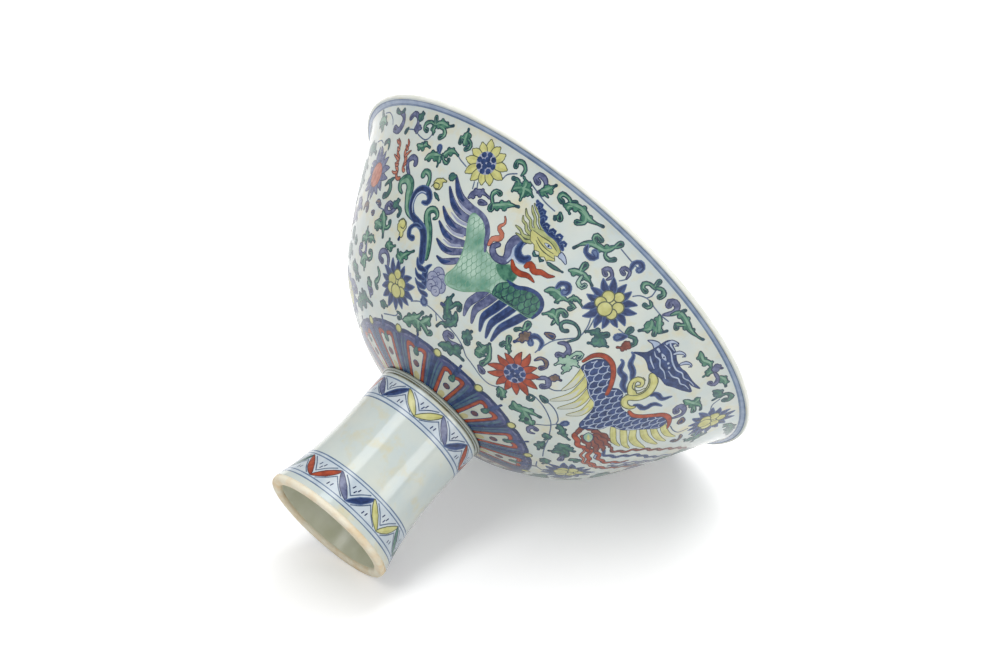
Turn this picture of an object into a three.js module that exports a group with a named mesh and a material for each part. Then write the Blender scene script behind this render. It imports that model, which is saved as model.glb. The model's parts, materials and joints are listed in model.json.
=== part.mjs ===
// Stem bowl: a thrown porcelain bowl luted onto a hollow turned stem, standing upright on its foot.
// Sizes are in millimetres, +Z is up, and the origin is the centre of the foot's resting face.
import * as THREE from "three";

// Roundness of the turned pieces
const segments = 60; // facets round each piece
const bowlSteps = 18; // rings along the bowl's outer curve, and as many inside
const stemSteps = 9; // rings along the stem's outer curve
const roundSteps = 4; // rings over the lip, and over the bead

// Stem: a waisted tube that flares into its foot
const stemHeight = 48.1; // resting face to the luted top edge
const footRadius = 22.3; // widest point of the foot, just above the resting face
const footRound = 1.0; // rounding of the foot's outer and inner edges
const flareRadius = 19.9; // where the flare of the foot has run out into the stem
const flareHeight = 12.5;
const waistRadius = 18.6; // narrowest point of the stem
const waistHeight = 28;
const stemTopRadius = 19.0;
const stemWall = 3.3;
const footWidth = 3.4; // width of the unglazed foot ring, outer edge to opening

// Joint: a layer of slip between the two thrown pieces, and a low bead of slip just above it
const slipThickness = 0.6;
const slipInset = 0.5; // how far the slip stays back from the stem's outer and inner walls
const beadWidth = 0.4; // how far the bead stands out
const beadHeight = 1.2;
const jointClearance = 0.1; // between the bowl, the slip, the bead and the stem

// Bowl: a luting pad, a rounded belly, a straighter side and a flared lip
const bowlHeight = 61.9; // underside of the luting pad to the top of the lip
const rimRadius = 77.5; // widest point of the lip
const lipRadius = 0.9; // half the thickness of the lip
const lipStart = -50; // the lip's rounding starts here, in degrees from outwards
const padDepth = 1.3; // how far the luting pad stands below the underside
const lowerBellyRadius = 33.6; // the outer curve is drawn through these points, from the pad up
const lowerBellyRise = 7.0;
const bellyRadius = 49.2;
const bellyRise = 18.3;
const sideRadius = 60.1;
const sideRise = 33.7;
const neckRadius = 71.0; // where the side begins to turn out towards the lip
const neckRise = 53.0;
const flareLipRadius = 74.9; // where the turned-out edge meets the lip's rounding
const flareLipRise = 59.1;
const floorThickness = 5.3; // at the centre of the bowl, over the pad
const bellyWall = 3.9; // wall just outside the pad

const porcelain = new THREE.MeshStandardMaterial({ color: 0xd9ddd6, roughness: 0.15, metalness: 0 });
const stemPorcelain = new THREE.MeshStandardMaterial({ color: 0xd5dad2, roughness: 0.15, metalness: 0 });
const beadGlaze = new THREE.MeshStandardMaterial({ color: 0x98a096, roughness: 0.2, metalness: 0 });
const unglazedSlip = new THREE.MeshStandardMaterial({ color: 0xe5cda2, roughness: 0.8, metalness: 0 });

const point = (radius, height) => new THREE.Vector2(radius, height);

// A smooth run of points through the given ones.
function curveThrough(points, steps) {
  return new THREE.SplineCurve(points).getPoints(steps);
}

// Points on an ellipse from one angle to another, in degrees from outwards, turning towards up.
function arc(centre, radiusOut, radiusUp, from, to, steps) {
  const points = [];
  for (let i = 0; i <= steps; i++) {
    const angle = THREE.MathUtils.degToRad(from + ((to - from) * i) / steps);
    points.push(point(centre.x + radiusOut * Math.cos(angle), centre.y + radiusUp * Math.sin(angle)));
  }
  return points;
}

// The curve moved to its left by a thickness that changes evenly from its start to its end.
function offsetCurve(points, startThickness, endThickness) {
  return points.map((here, i) => {
    const before = points[Math.max(i - 1, 0)];
    const after = points[Math.min(i + 1, points.length - 1)];
    const along = after.clone().sub(before).normalize();
    const thickness = THREE.MathUtils.lerp(startThickness, endThickness, i / (points.length - 1));
    return point(here.x - along.y * thickness, here.y + along.x * thickness);
  });
}

// Turns a profile about the upright axis and places it at a height.
function turned(name, profile, material, height) {
  const geometry = new THREE.LatheGeometry(profile, segments);
  geometry.rotateX(Math.PI / 2);
  const mesh = new THREE.Mesh(geometry, material);
  mesh.name = name;
  mesh.position.z = height;
  return mesh;
}

// The stem's outer curve from the top of the foot's rounded edge up to the luted edge.
function stemOuterCurve() {
  return curveThrough(
    [
      point(footRadius, footRound * 2),
      point(flareRadius, flareHeight),
      point(waistRadius, waistHeight),
      point(stemTopRadius, stemHeight),
    ],
    stemSteps,
  );
}

function makeStem() {
  const outer = stemOuterCurve();
  const inner = offsetCurve(outer, footWidth, stemWall);
  inner[inner.length - 1] = point(stemTopRadius - stemWall, stemHeight);
  const opening = footRadius - footWidth;
  const profile = [
    point(opening + footRound, 0),
    ...arc(point(footRadius - footRound, footRound), footRound, footRound, -90, 0, roundSteps),
    ...outer,
    ...inner.slice(1).reverse(),
    ...arc(point(opening + footRound, footRound), footRound, footRound, 180, 270, roundSteps),
  ];
  return turned("stem", profile, stemPorcelain, 0);
}

function makeLutingSlip() {
  const outside = stemTopRadius - slipInset;
  const inside = stemTopRadius - stemWall + slipInset;
  const profile = [
    point(inside, 0),
    point(outside, 0),
    point(outside, slipThickness),
    point(inside, slipThickness),
    point(inside, 0),
  ];
  return turned("luting_slip", profile, unglazedSlip, stemHeight + jointClearance);
}

const padBase = stemHeight + slipThickness + jointClearance * 2;

// The bead lies round the luting pad, just above the seam and close under the bowl.
function makeJointBead() {
  const inside = stemTopRadius + jointClearance;
  const half = beadHeight / 2;
  const profile = [...arc(point(inside, 0), beadWidth, half, -90, 90, roundSteps * 2), point(inside, -half)];
  const middle = padBase + padDepth - jointClearance - half;
  return turned("joint_collar", profile, beadGlaze, middle);
}

function makeBowl() {
  const lip = point(rimRadius - lipRadius, bowlHeight - lipRadius);
  const lipArc = arc(lip, lipRadius, lipRadius, lipStart, lipStart + 180, roundSteps);
  const outer = curveThrough(
    [
      point(stemTopRadius, padDepth),
      point(lowerBellyRadius, lowerBellyRise),
      point(bellyRadius, bellyRise),
      point(sideRadius, sideRise),
      point(neckRadius, neckRise),
      point(flareLipRadius, flareLipRise),
      lipArc[0],
    ],
    bowlSteps,
  );
  const inner = offsetCurve(outer.slice(2, -1), bellyWall, lipRadius * 2);
  const floor = point(0, floorThickness);
  const profile = [
    point(0, 0),
    point(stemTopRadius, 0),
    ...outer,
    ...lipArc.slice(1),
    ...inner.reverse(),
    floor,
  ];
  return turned("bowl", profile, porcelain, padBase);
}

const group = new THREE.Group();
group.add(makeStem(), makeLutingSlip(), makeJointBead(), makeBowl());

export default group;
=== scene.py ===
"""The looks of a painted porcelain stem bowl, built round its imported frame.

The bowl stands upright on its foot in its own frame, as on a shelf. The camera sees it lying on a white
table, so the table is a slanted plane that touches the foot ring and the lip.

The ornament is drawn as brush marks on the unrolled outside of the bowl and stem. A place on it is a pair:
degrees round the axis, from the side that the camera sees, and millimetres along the outline from near its
low end.
"""

import bisect
import json
import math

import bpy
from mathutils import Matrix, Vector
from mathutils.geometry import delaunay_2d_cdt

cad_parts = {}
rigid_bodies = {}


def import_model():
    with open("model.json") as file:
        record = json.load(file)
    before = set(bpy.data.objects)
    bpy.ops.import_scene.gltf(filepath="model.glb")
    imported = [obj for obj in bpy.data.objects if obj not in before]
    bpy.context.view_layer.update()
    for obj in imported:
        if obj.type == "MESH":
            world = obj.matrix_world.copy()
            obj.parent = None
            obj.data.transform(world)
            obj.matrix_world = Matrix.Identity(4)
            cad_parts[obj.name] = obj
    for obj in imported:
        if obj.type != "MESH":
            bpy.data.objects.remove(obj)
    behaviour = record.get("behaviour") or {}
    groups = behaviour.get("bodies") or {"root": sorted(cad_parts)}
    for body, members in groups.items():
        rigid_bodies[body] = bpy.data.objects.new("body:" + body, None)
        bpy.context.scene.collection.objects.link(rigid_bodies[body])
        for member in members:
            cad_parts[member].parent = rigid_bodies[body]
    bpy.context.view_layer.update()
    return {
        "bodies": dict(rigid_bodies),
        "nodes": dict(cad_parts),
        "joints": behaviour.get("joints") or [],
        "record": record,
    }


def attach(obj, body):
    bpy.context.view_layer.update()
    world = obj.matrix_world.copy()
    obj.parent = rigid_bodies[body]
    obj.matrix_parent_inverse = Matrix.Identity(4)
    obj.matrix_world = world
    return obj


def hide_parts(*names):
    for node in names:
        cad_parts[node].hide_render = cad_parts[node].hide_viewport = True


MM = 0.001

# Camera: the distances are in millimetres from the foot ring's centre, in the bowl's own frame
CAMERA_PLACE = (-0.3, -883.1, -180.1)
CAMERA_AIM = (-0.3, 0.0, 83.3)
CAMERA_ROLL = 41.87
CAMERA_LENS = 106.0
SENSOR_WIDTH = 36.0
CLIP_START = 0.01

# Table: it touches the foot ring and the lip on the side that faces this way round the axis
TABLE_SIDE = 50.5
FOOT_TOUCH = (22.3, 0.7)
LIP_TOUCH = (77.5, 109.9)
TABLE_SIZE = 6000.0
TABLE_HAZE = 0.24
TABLE_WHITE = "#DCDCDC"
TABLE_SEEN = "#F8F8F8"

# Lamps: each soft box's direction from the bowl, its distance and size in metres, and its power in watts
LAMPS = {
    "overhead_softbox": ((-0.6, -0.767, 0.226), 1.2, (0.42, 1.7), 9.0),
    "low_softbox": ((0.626, -0.746, 0.226), 1.2, (0.45, 0.5), 2.6),
    "rim_softbox": ((-0.35, -0.1, 0.93), 1.2, (0.8, 0.8), 7.0),
    "foot_softbox": ((0.25, -0.8, -0.55), 1.2, (0.8, 0.8), 1.6),
}
WORLD_STRENGTH = 0.45

# Bowl and stem: radius and height in millimetres of the points that their outlines are drawn through
LIP_RADIUS = 0.9
LIP_MIDDLE = (76.6, 109.9)
LIP_START = -50.0
BOWL_OUTLINE = [(19.0, 50.2), (33.6, 55.9), (49.2, 67.2), (60.1, 82.6), (71.0, 101.9), (74.9, 108.0)]
PAD_BASE = 48.9
BOWL_WALL = (3.9, 1.8)
BOWL_FLOOR = 54.2
STEM_OUTLINE = [(22.3, 2.0), (19.9, 12.5), (18.6, 28.0), (19.0, 48.1)]
STEM_WALL = (3.4, 3.3)
FOOT_ROUND = 1.0
BARE_HEIGHT = 2.2
BARE_OVERLAP = 0.2
ON_AXIS = 1e-6
TURN_STEPS = 288
LIP_STEPS = 10
FOOT_STEPS = 6
SIDE_STEPS = 24

# Paint, in millimetres: how far it stands out of the glaze and goes into it, and how far the bowl's outline
# runs before its places start. The first lappet stands at the last value, in degrees.
PAINT_LIFT = 0.03
PAINT_DEPTH = 0.06
PAINT_START = 0.56
LAPPET_START = -4.0

# Cut: the radius at which the sheet is laid flat, the steps of a brush line and of the grid between the
# marks, all in millimetres, and how exactly places are told apart
FLAT_RADIUS = 55.0
BRUSH_STEP = 0.7
CURVE_GRID = 1.7
GRID_MARGIN = 1
CUT_TOLERANCE = 1e-5
SAME_PLACE_DIGITS = 4

# Brush lines, in millimetres: the usual width and the least, and the width at which the dark end of a broad
# stroke starts. It grows to a share of the stroke's own width.
LINE_WIDTH = 0.36
THINNEST = 0.05
TIP_WIDTH_START = 0.2
TIP_WIDTH = 0.55

# A round end's last angle and its steps, and how often an uneven ring wavers in a turn
ROUND_END = (315, 7)
WAVES = (6, 2)

# Inside of a wide stroke: a share of its width less a loss in millimetres, and how far it leans to one side
CORE_SHARE = 0.55
CORE_LOSS = 0.35
CORE_LEAN = 0.7

# Lobes: where they stand along a leaf, and how far they reach and how wide they are in shares of its width
LOBE_SHARES = (0.2, 0.36, 0.5, 0.64)
LOBE_REACH = 0.45
LOBE_WIDTH = 0.8

# Scale: the arc of its edge, in shares of the distance between scales
SCALE_EDGE = [
    (-0.48, 0.6), (-0.46, 0.1), (-0.26, -0.3), (0.0, -0.45), (0.26, -0.3), (0.46, 0.1), (0.48, 0.6)
]

# Feather: the pale core, and how the paint of its tip widens along it, as shares of the feather's width
CORE_WIDTH = (0.4, -0.1)
CORE_PLACE = 1.2
TIP_START = 1 / 3
TIP_STEPS = 8
TIP_FULL = 0.85
TIP_WIDENS = (2.6, -0.75)
TIP_PLACE = 0.1
STREAMER_WIDTH = 0.7

# Bands: their edges in millimetres along the outline, and how much their lines waver
RIM_BAND = (82.95, 84.95)
RIM_LINES = ((82.95, 83.55, 0.05), (84.5, 84.95, 0.04))
LINE_WOBBLE = 0.04
ZIGZAG_EDGE = 0.2

# Finishes: typical values for glaze and for fired clay
GLASSY_IOR = 1.5
GLAZE_ROUGHNESS = 0.12
SEAM_ROUGHNESS = 0.1
PAINT_ROUGHNESS = 0.22
CLAY_ROUGHNESS = 0.75

# Tones: the paint of the rim round a wide mark, and of its inside
TONES = {
    "green": ("green_rim", "mid_green"),
    "leaf": ("green_rim", "green"),
    "pale_green": ("green_rim", None),
    "wash": ("wash_rim", None),
    "deep": ("blue_rim", "line"),
    "yellow": ("olive", "pale_yellow"),
    "yellow_green": ("olive", None),
    "red": ("crimson", None),
    "rust": ("crimson", None),
    "salmon": ("crimson", None),
}


def linear(code):
    """A linear colour from an sRGB hex code."""
    parts = [int(code[i : i + 2], 16) / 255 for i in (1, 3, 5)]
    curved = [c / 12.92 if c <= 0.04045 else ((c + 0.055) / 1.055) ** 2.4 for c in parts]
    return (*curved, 1.0)


def add_node(tree, kind, settings=None, **links):
    """Adds a node with its settings, and fills its inputs with values or with other nodes' outputs. An
    input is given by its name, or as i and its number."""
    node = tree.nodes.new(kind)
    for name, value in (settings or {}).items():
        setattr(node, name, value)
    for name, value in links.items():
        socket = node.inputs[int(name[1:])] if name[1:].isdigit() else node.inputs[name.replace("_", " ")]
        if isinstance(value, bpy.types.NodeSocket):
            tree.links.new(value, socket)
        else:
            socket.default_value = value
    return node


def new_material(name):
    """A material with an empty node tree and its output node."""
    material = bpy.data.materials.new(name)
    material.use_nodes = True
    material.node_tree.nodes.clear()
    return material, material.node_tree, material.node_tree.nodes.new("ShaderNodeOutputMaterial")


def catmull_rom(before, start, end, after, t):
    """A point on the smooth curve from start to end, at t from 0 to 1."""
    values = []
    for p0, p1, p2, p3 in zip(before, start, end, after):
        v0, v1 = (p2 - p0) / 2, (p3 - p1) / 2
        values.append(
            (2 * p1 - 2 * p2 + v0 + v1) * t**3 + (3 * p2 - 3 * p1 - 2 * v0 - v1) * t**2 + v0 * t + p1
        )
    return tuple(values)


def curve_through(points, steps):
    """A smooth run of points through the given ones, with as many steps from each to the next."""
    run = []
    for i in range(len(points) - 1):
        before, after = points[max(i - 1, 0)], points[min(i + 2, len(points) - 1)]
        run += [catmull_rom(before, points[i], points[i + 1], after, k / steps) for k in range(steps)]
    return run + [points[-1]]


def arc(middle, radius, start, end, steps):
    """Points on a circle from one angle to another, in degrees from outwards, turning towards up."""
    angles = [math.radians(start + (end - start) * i / steps) for i in range(steps + 1)]
    return [(middle[0] + radius * math.cos(a), middle[1] + radius * math.sin(a)) for a in angles]


def offset(points, walls):
    """The outline moved to its left by a wall that changes evenly from its start to its end."""
    moved = []
    for i, (radius, height) in enumerate(points):
        before, after = points[max(i - 1, 0)], points[min(i + 1, len(points) - 1)]
        run = Vector((after[0] - before[0], after[1] - before[1])).normalized()
        wall = walls[0] + (walls[1] - walls[0]) * i / (len(points) - 1)
        moved.append((radius - run.y * wall, height + run.x * wall))
    return moved


def new_piece(name, points, faces, material, node):
    """A smooth piece that stands for a node of the frame; the points are in millimetres."""
    mesh = bpy.data.meshes.new(name)
    mesh.from_pydata([Vector(p) * MM for p in points], [], faces)
    mesh.materials.append(material)
    mesh.polygons.foreach_set("use_smooth", [True] * len(mesh.polygons))
    piece = bpy.data.objects.new(name, mesh)
    bpy.context.scene.collection.objects.link(piece)
    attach(piece, "root")
    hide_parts(node)
    return piece


def turned(name, profile, material, node, closed=False):
    """Turns a profile about the upright axis. The profile runs with the piece on its left, and it starts
    and ends on the axis unless it is closed."""
    points, faces = [], []
    rings = []
    for radius, height in profile:
        if radius < ON_AXIS:
            rings.append([len(points)] * TURN_STEPS)
            points.append((0, 0, height))
            continue
        rings.append(list(range(len(points), len(points) + TURN_STEPS)))
        angles = [2 * math.pi * k / TURN_STEPS for k in range(TURN_STEPS)]
        points += [(radius * math.cos(a), radius * math.sin(a), height) for a in angles]
    pairs = list(zip(rings, rings[1:])) + ([(rings[-1], rings[0])] if closed else [])
    for low, high in pairs:
        for k in range(TURN_STEPS):
            n = (k + 1) % TURN_STEPS
            corners = list(dict.fromkeys([low[k], low[n], high[n], high[k]]))
            faces.append(corners)
    return new_piece(name, points, faces, material, node)


class Side:
    """The outside of a turned piece, measured along its outline from a start above the low end."""

    def __init__(self, outline, start=0.0):
        self.points = [Vector(p) for p in outline]
        self.along = [-start]
        for low, high in zip(self.points, self.points[1:]):
            self.along.append(self.along[-1] + (high - low).length)
        self.normals = []
        for i in range(len(self.points)):
            run = self.points[min(i + 1, len(self.points) - 1)] - self.points[max(i - 1, 0)]
            self.normals.append(Vector((run.y, -run.x)).normalized())

    def at(self, along):
        """The outline's point and outward direction at a distance along it."""
        i = min(max(bisect.bisect(self.along, along) - 1, 0), len(self.points) - 2)
        share = (along - self.along[i]) / (self.along[i + 1] - self.along[i])
        normal = self.normals[i].lerp(self.normals[i + 1], min(max(share, 0), 1)).normalized()
        return self.points[i].lerp(self.points[i + 1], share), normal

    def place(self, turn, along, lift):
        """The point in space, and the outward direction there, lifted off the surface."""
        point, normal = self.at(along)
        turn = math.radians(turn)
        point = point + normal * lift
        return (
            Vector((point.x * math.sin(turn), -point.x * math.cos(turn), point.y)),
            Vector((normal.x * math.sin(turn), -normal.x * math.cos(turn), normal.y)),
        )


class Sheet:
    """Brush marks on a side, over a share of the turn that repeats. A later mark covers an earlier
    one."""

    def __init__(self, side, repeats):
        self.side = side
        self.repeats = repeats
        self.half = 180.0 / repeats
        self.marks = []

    def degrees(self, millimetres, along):
        """How far round the axis a length at this height reaches."""
        return math.degrees(millimetres / self.side.at(along)[0].x)

    def local(self, place, points, angle=0.0):
        """Points in millimetres about a place, turned by an angle, as places on the sheet."""
        cos, sin = math.cos(math.radians(angle)), math.sin(math.radians(angle))
        moved = []
        for x, y in points:
            across, up = x * cos - y * sin, x * sin + y * cos
            along = place[1] + up
            moved.append((place[0] + self.degrees(across, along), along))
        return moved

    def run(self, points, closed=False):
        """A smooth line through places, in even steps. A place that comes twice in a row is a sharp
        corner."""
        line = []
        count = len(points)
        last = count if closed else count - 1
        for i in range(last):
            start, end = points[i], points[(i + 1) % count]
            before = points[(i - 1) % count] if closed or i else start
            after = points[(i + 2) % count] if closed or i + 2 < count else end
            if start == end:
                continue
            radius = self.side.at(start[1])[0].x
            length = math.hypot(math.radians(end[0] - start[0]) * radius, end[1] - start[1])
            steps = max(1, round(length / BRUSH_STEP))
            line += [catmull_rom(before, start, end, after, k / steps) for k in range(steps)]
        return line if closed else line + [points[-1]]

    def mark(self, pigment, corners):
        """One flat mark."""
        self.marks.append((pigment, corners))

    def patch(self, pigment, outline, edge=LINE_WIDTH, line="line"):
        """A filled shape with a brush line round it."""
        loop = self.run(outline, closed=True)
        self.mark(pigment, loop)
        if edge:
            self.trail(line, loop + loop[:2], [edge])

    def heading(self, line, i):
        """The surface's radius at a place of a fine run, and the run's direction there."""
        radius = self.side.at(line[i][1])[0].x
        before, after = line[max(i - 1, 0)], line[min(i + 1, len(line) - 1)]
        across = math.radians(after[0] - before[0]) * radius
        return radius, Vector((across, after[1] - before[1])).normalized()

    def swing(self, line, height, length):
        """A fine run swung to both sides in even waves."""
        swung = []
        for i, (turn, along) in enumerate(line):
            radius, run = self.heading(line, i)
            shift = height * math.sin(2 * math.pi * i * BRUSH_STEP / length)
            swung.append((turn - math.degrees(run.y * shift / radius), along + run.x * shift))
        return swung

    def trail(self, pigment, line, widths, lean=0.0):
        """A brush line along a fine run of places, with widths in millimetres that are spread along it.
        It can lean to its left by a share of its width, and it breaks off where it has none."""
        count = len(line) - 1
        left = right = None
        for i, (turn, along) in enumerate(line):
            radius, run = self.heading(line, i)
            half = spread(widths, i / count) / 2
            if half <= 0 or not run.length:
                left = right = None
                continue
            across, up = math.degrees(-run.y * half / radius), run.x * half
            turn, along = turn + across * lean, along + up * lean
            new_left, new_right = (turn + across, along + up), (turn - across, along - up)
            if left:
                new_left = keep_going(left, new_left, run)
                new_right = keep_going(right, new_right, run)
                corners = list(dict.fromkeys([left, right, new_right, new_left]))
                if len(corners) > 2:
                    self.mark(pigment, corners)
            left, right = new_left, new_right
            if i in (0, count) and half > LINE_WIDTH / 3:
                self.mark(pigment, self.local((turn, along), arc((0, 0), half, 0, *ROUND_END)))

    def brush(self, pigment, path, widths):
        """A brush line through a few places."""
        self.trail(pigment, self.run(path), widths)

    def leaf(self, pigment, strokes, edge=LINE_WIDTH, swing=None, lobes=False):
        """Strokes that run together into one shape, with a rim round it and another tone inside wide
        ones."""
        rim, core = TONES.get(pigment, ("line", None))
        runs = [(self.run(path), widths) for path, widths in strokes]
        if swing:
            runs = [(self.swing(line, *swing), widths) for line, widths in runs]
        if lobes:
            runs += [lobe for line, widths in runs for lobe in self.lobes(line, widths)]
        for path, widths in runs:
            self.trail(rim, path, [width + edge for width in widths])
        for path, widths in runs:
            self.trail(pigment, path, [max(width - edge, THINNEST) for width in widths])
        if core:
            for path, widths in runs[: len(strokes)]:
                self.trail(core, path, [width * CORE_SHARE - CORE_LOSS for width in widths], CORE_LEAN)
        if lobes:
            for path, widths in runs[: len(strokes)]:
                if widths[-1] > LINE_WIDTH * 2:
                    self.trail(rim, path[-3:], [TIP_WIDTH_START, widths[-1] * TIP_WIDTH])

    def lobes(self, line, widths):
        """Short strokes that stand out at both sides of a pointed leaf."""
        found = []
        if len(line) < 5 or widths[-2] > max(widths) / 2:
            return found
        for k, share in enumerate(LOBE_SHARES):
            i = round(share * (len(line) - 1))
            radius, run = self.heading(line, i)
            width = spread(widths, share)
            reach = width * LOBE_REACH * (1 if k % 2 else -1)
            tip = (line[i][0] - math.degrees(run.y * reach / radius), line[i][1] + run.x * reach)
            found.append(([line[i], tip], [width * LOBE_WIDTH]))
        return found

    def band(self, pigment, low, high, wobble=0.0):
        """A line or a wash all the way round."""
        steps = round(self.half)
        edges = []
        for i in range(-steps, steps + 1):
            turn = self.half * i / steps
            quick, slow = (math.sin(math.radians(turn * count * self.repeats)) for count in WAVES)
            wave = wobble * quick * slow
            edges.append(((turn, low + wave), (turn, high - wave)))
        for (low0, high0), (low1, high1) in zip(edges, edges[1:]):
            self.mark(pigment, [low0, low1, high1, high0])

    def loops(self):
        """The marks as loops of millimetres on the flat. One that crosses an end comes again at the
        other."""
        flat = math.radians(1) * FLAT_RADIUS
        found = []
        for pigment, corners in self.marks:
            shifts = [0.0]
            shifts += [2 * self.half] * (min(turn for turn, along in corners) < -self.half)
            shifts += [-2 * self.half] * (max(turn for turn, along in corners) > self.half)
            for shift in shifts:
                found.append((pigment, [((turn + shift) * flat, along) for turn, along in corners]))
        return found

    def settle(self):
        """Cuts all marks into triangles that don't overlap: for each pigment, its triangles of places."""
        flat = math.radians(1) * FLAT_RADIUS
        edge = self.half * flat
        loops = self.loops()
        low = min(y for pigment, loop in loops for x, y in loop)
        high = max(y for pigment, loop in loops for x, y in loop)
        points, lines = outlines(loops, edge, low, high)
        found, _, triangles, _, _, _ = delaunay_2d_cdt(
            points + grid(edge, low, high), lines, [], 0, CUT_TOLERANCE, False
        )
        near = cells(loops)
        painted = {}
        for triangle in triangles:
            middle = sum((found[i] for i in triangle), Vector((0, 0))) / 3
            if abs(middle.x) > edge:
                continue
            for number in reversed(
                near.get((int(middle.x // CURVE_GRID), int(middle.y // CURVE_GRID)), [])
            ):
                pigment, loop = loops[number]
                if within(middle, loop):
                    places = [(found[i].x / flat, found[i].y) for i in triangle]
                    painted.setdefault(pigment, []).append(places)
                    break
        return painted


def outlines(loops, edge, low, high):
    """The points and lines of all loops, after the two ends of the sheet."""
    low, high = low - GRID_MARGIN, high + GRID_MARGIN
    points = [Vector(place) for place in ((-edge, low), (-edge, high), (edge, low), (edge, high))]
    lines = [(0, 1), (2, 3)]
    for pigment, loop in loops:
        first = len(points)
        points += [Vector(place) for place in loop]
        lines += [(first + i, first + (i + 1) % len(loop)) for i in range(len(loop))]
    return points, lines


def grid(edge, low, high):
    """Points all over the sheet, by which the paint follows the surface."""
    columns, rows = int(2 * edge / CURVE_GRID), int((high - low) / CURVE_GRID)
    points = []
    for row in range(rows + 1):
        shift = 0.5 * (row % 2)
        height = low + (high - low) * row / rows
        points += [Vector((((k + shift) / columns * 2 - 1) * edge, height)) for k in range(columns + 1)]
    return points


def cells(loops):
    """The numbers of the loops that reach into each square of a coarse grid."""
    found = {}
    for number, (pigment, loop) in enumerate(loops):
        xs, ys = [x for x, y in loop], [y for x, y in loop]
        for column in range(int(min(xs) // CURVE_GRID), int(max(xs) // CURVE_GRID) + 1):
            for row in range(int(min(ys) // CURVE_GRID), int(max(ys) // CURVE_GRID) + 1):
                found.setdefault((column, row), []).append(number)
    return found


def within(place, loop):
    """Whether a loop winds round a place."""
    x, y = place
    turns = 0
    for (x0, y0), (x1, y1) in zip(loop, loop[1:] + loop[:1]):
        side = (x1 - x0) * (y - y0) - (x - x0) * (y1 - y0)
        if y0 <= y < y1 and side > 0:
            turns += 1
        elif y1 <= y < y0 and side < 0:
            turns -= 1
    return turns != 0


def spread(widths, share):
    """A value at a share of the way along a few that are spread evenly."""
    if len(widths) == 1:
        return widths[0]
    step = share * (len(widths) - 1)
    i = min(int(step), len(widths) - 2)
    return widths[i] + (widths[i + 1] - widths[i]) * (step - i)


def keep_going(last, new, run):
    """The new edge place, or the last one where the edge would turn back on itself in a tight bend."""
    return last if (new[0] - last[0]) * run.x + (new[1] - last[1]) * run.y <= 0 else new


def flat_faces(triangles):
    """The places that triangles share, with a number each, and the faces between them."""
    index, faces = {}, []
    for triangle in triangles:
        rounded = [
            (round(turn, SAME_PLACE_DIGITS), round(along, SAME_PLACE_DIGITS)) for turn, along in triangle
        ]
        corners = [index.setdefault(place, len(index)) for place in rounded]
        if len(set(corners)) == 3:
            faces.append(corners)
    return index, faces


def open_edges(faces):
    """The edges that belong to one face alone, in the order of the faces."""
    edges = {}
    for a, b, c in faces:
        for pair in ((a, b), (b, c), (c, a)):
            edges[pair] = edges.get(pair, 0) + 1
    return [pair for pair in edges if pair[::-1] not in edges]


def lay_paint(name, triangles, sheet, material, node, start):
    """A thin closed layer of paint: the triangles of places, raised, sunk and walled, at each repeat."""
    side, repeats = sheet.side, sheet.repeats
    index, faces = flat_faces(triangles)
    walls = open_edges(faces)
    count = len(index)
    points, normals, layers, places = [], [], [], []
    for repeat in range(repeats):
        shift = start + 360.0 * repeat / repeats
        base = len(points)
        for lift in (PAINT_LIFT, -PAINT_DEPTH):
            for turn, along in index:
                point, normal = side.place(turn + shift, along, lift)
                points.append(point)
                normals.append(normal)
                places.append(((turn + shift - start + 180.0 / repeats) / 360.0, along / side.along[-1]))
        layers += [[base + i for i in face] for face in faces]
        layers += [[base + count + i for i in reversed(face)] for face in faces]
        layers += [[base + a, base + count + a, base + count + b, base + b] for a, b in walls]
    piece = new_piece(name, points, layers, material, node)
    add_map(piece.data, places)
    piece.data.normals_split_custom_set_from_vertices(normals)
    return piece


def add_map(mesh, places):
    """The paint's place on the sheet, as a UV map."""
    layer = mesh.uv_layers.new(name="OFBake")
    loops = [0] * len(mesh.loops)
    mesh.loops.foreach_get("vertex_index", loops)
    layer.data.foreach_set("uv", [value for i in loops for value in places[i]])


# Brush strokes: how wide each kind is in millimetres, from where the brush goes down to where it leaves
STROKES = {
    "c": (0.5, 1.1, 1.0, 1.5, 1.3, 1.6),
    "l": (0.7, 1.7, 1.6, 1.9, 1.3, 0.5, 0.7),
    "b": (0.8, 1.6, 1.8),
    "s": (0.42,),
    "f": (1.7, 2.0, 1.7, 0.4),
}


def strokes(text):
    """Strokes from their short form: a kind and a size, then the places. A semicolon parts two
    strokes."""
    found = []
    for part in text.split(";"):
        kind, *places = part.split()
        size = float(kind[1:] or 1)
        path = [tuple(float(value) for value in place.split(",")) for place in places]
        found.append((path, [width * size for width in STROKES[kind[0]]]))
    return found


def places(text):
    """Places from their short form."""
    return [tuple(float(value) for value in place.split(",")) for place in text.split()]


def stroke(text, *widths):
    """One stroke through places in their short form, with widths of its own."""
    return [(places(text), widths)]


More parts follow.
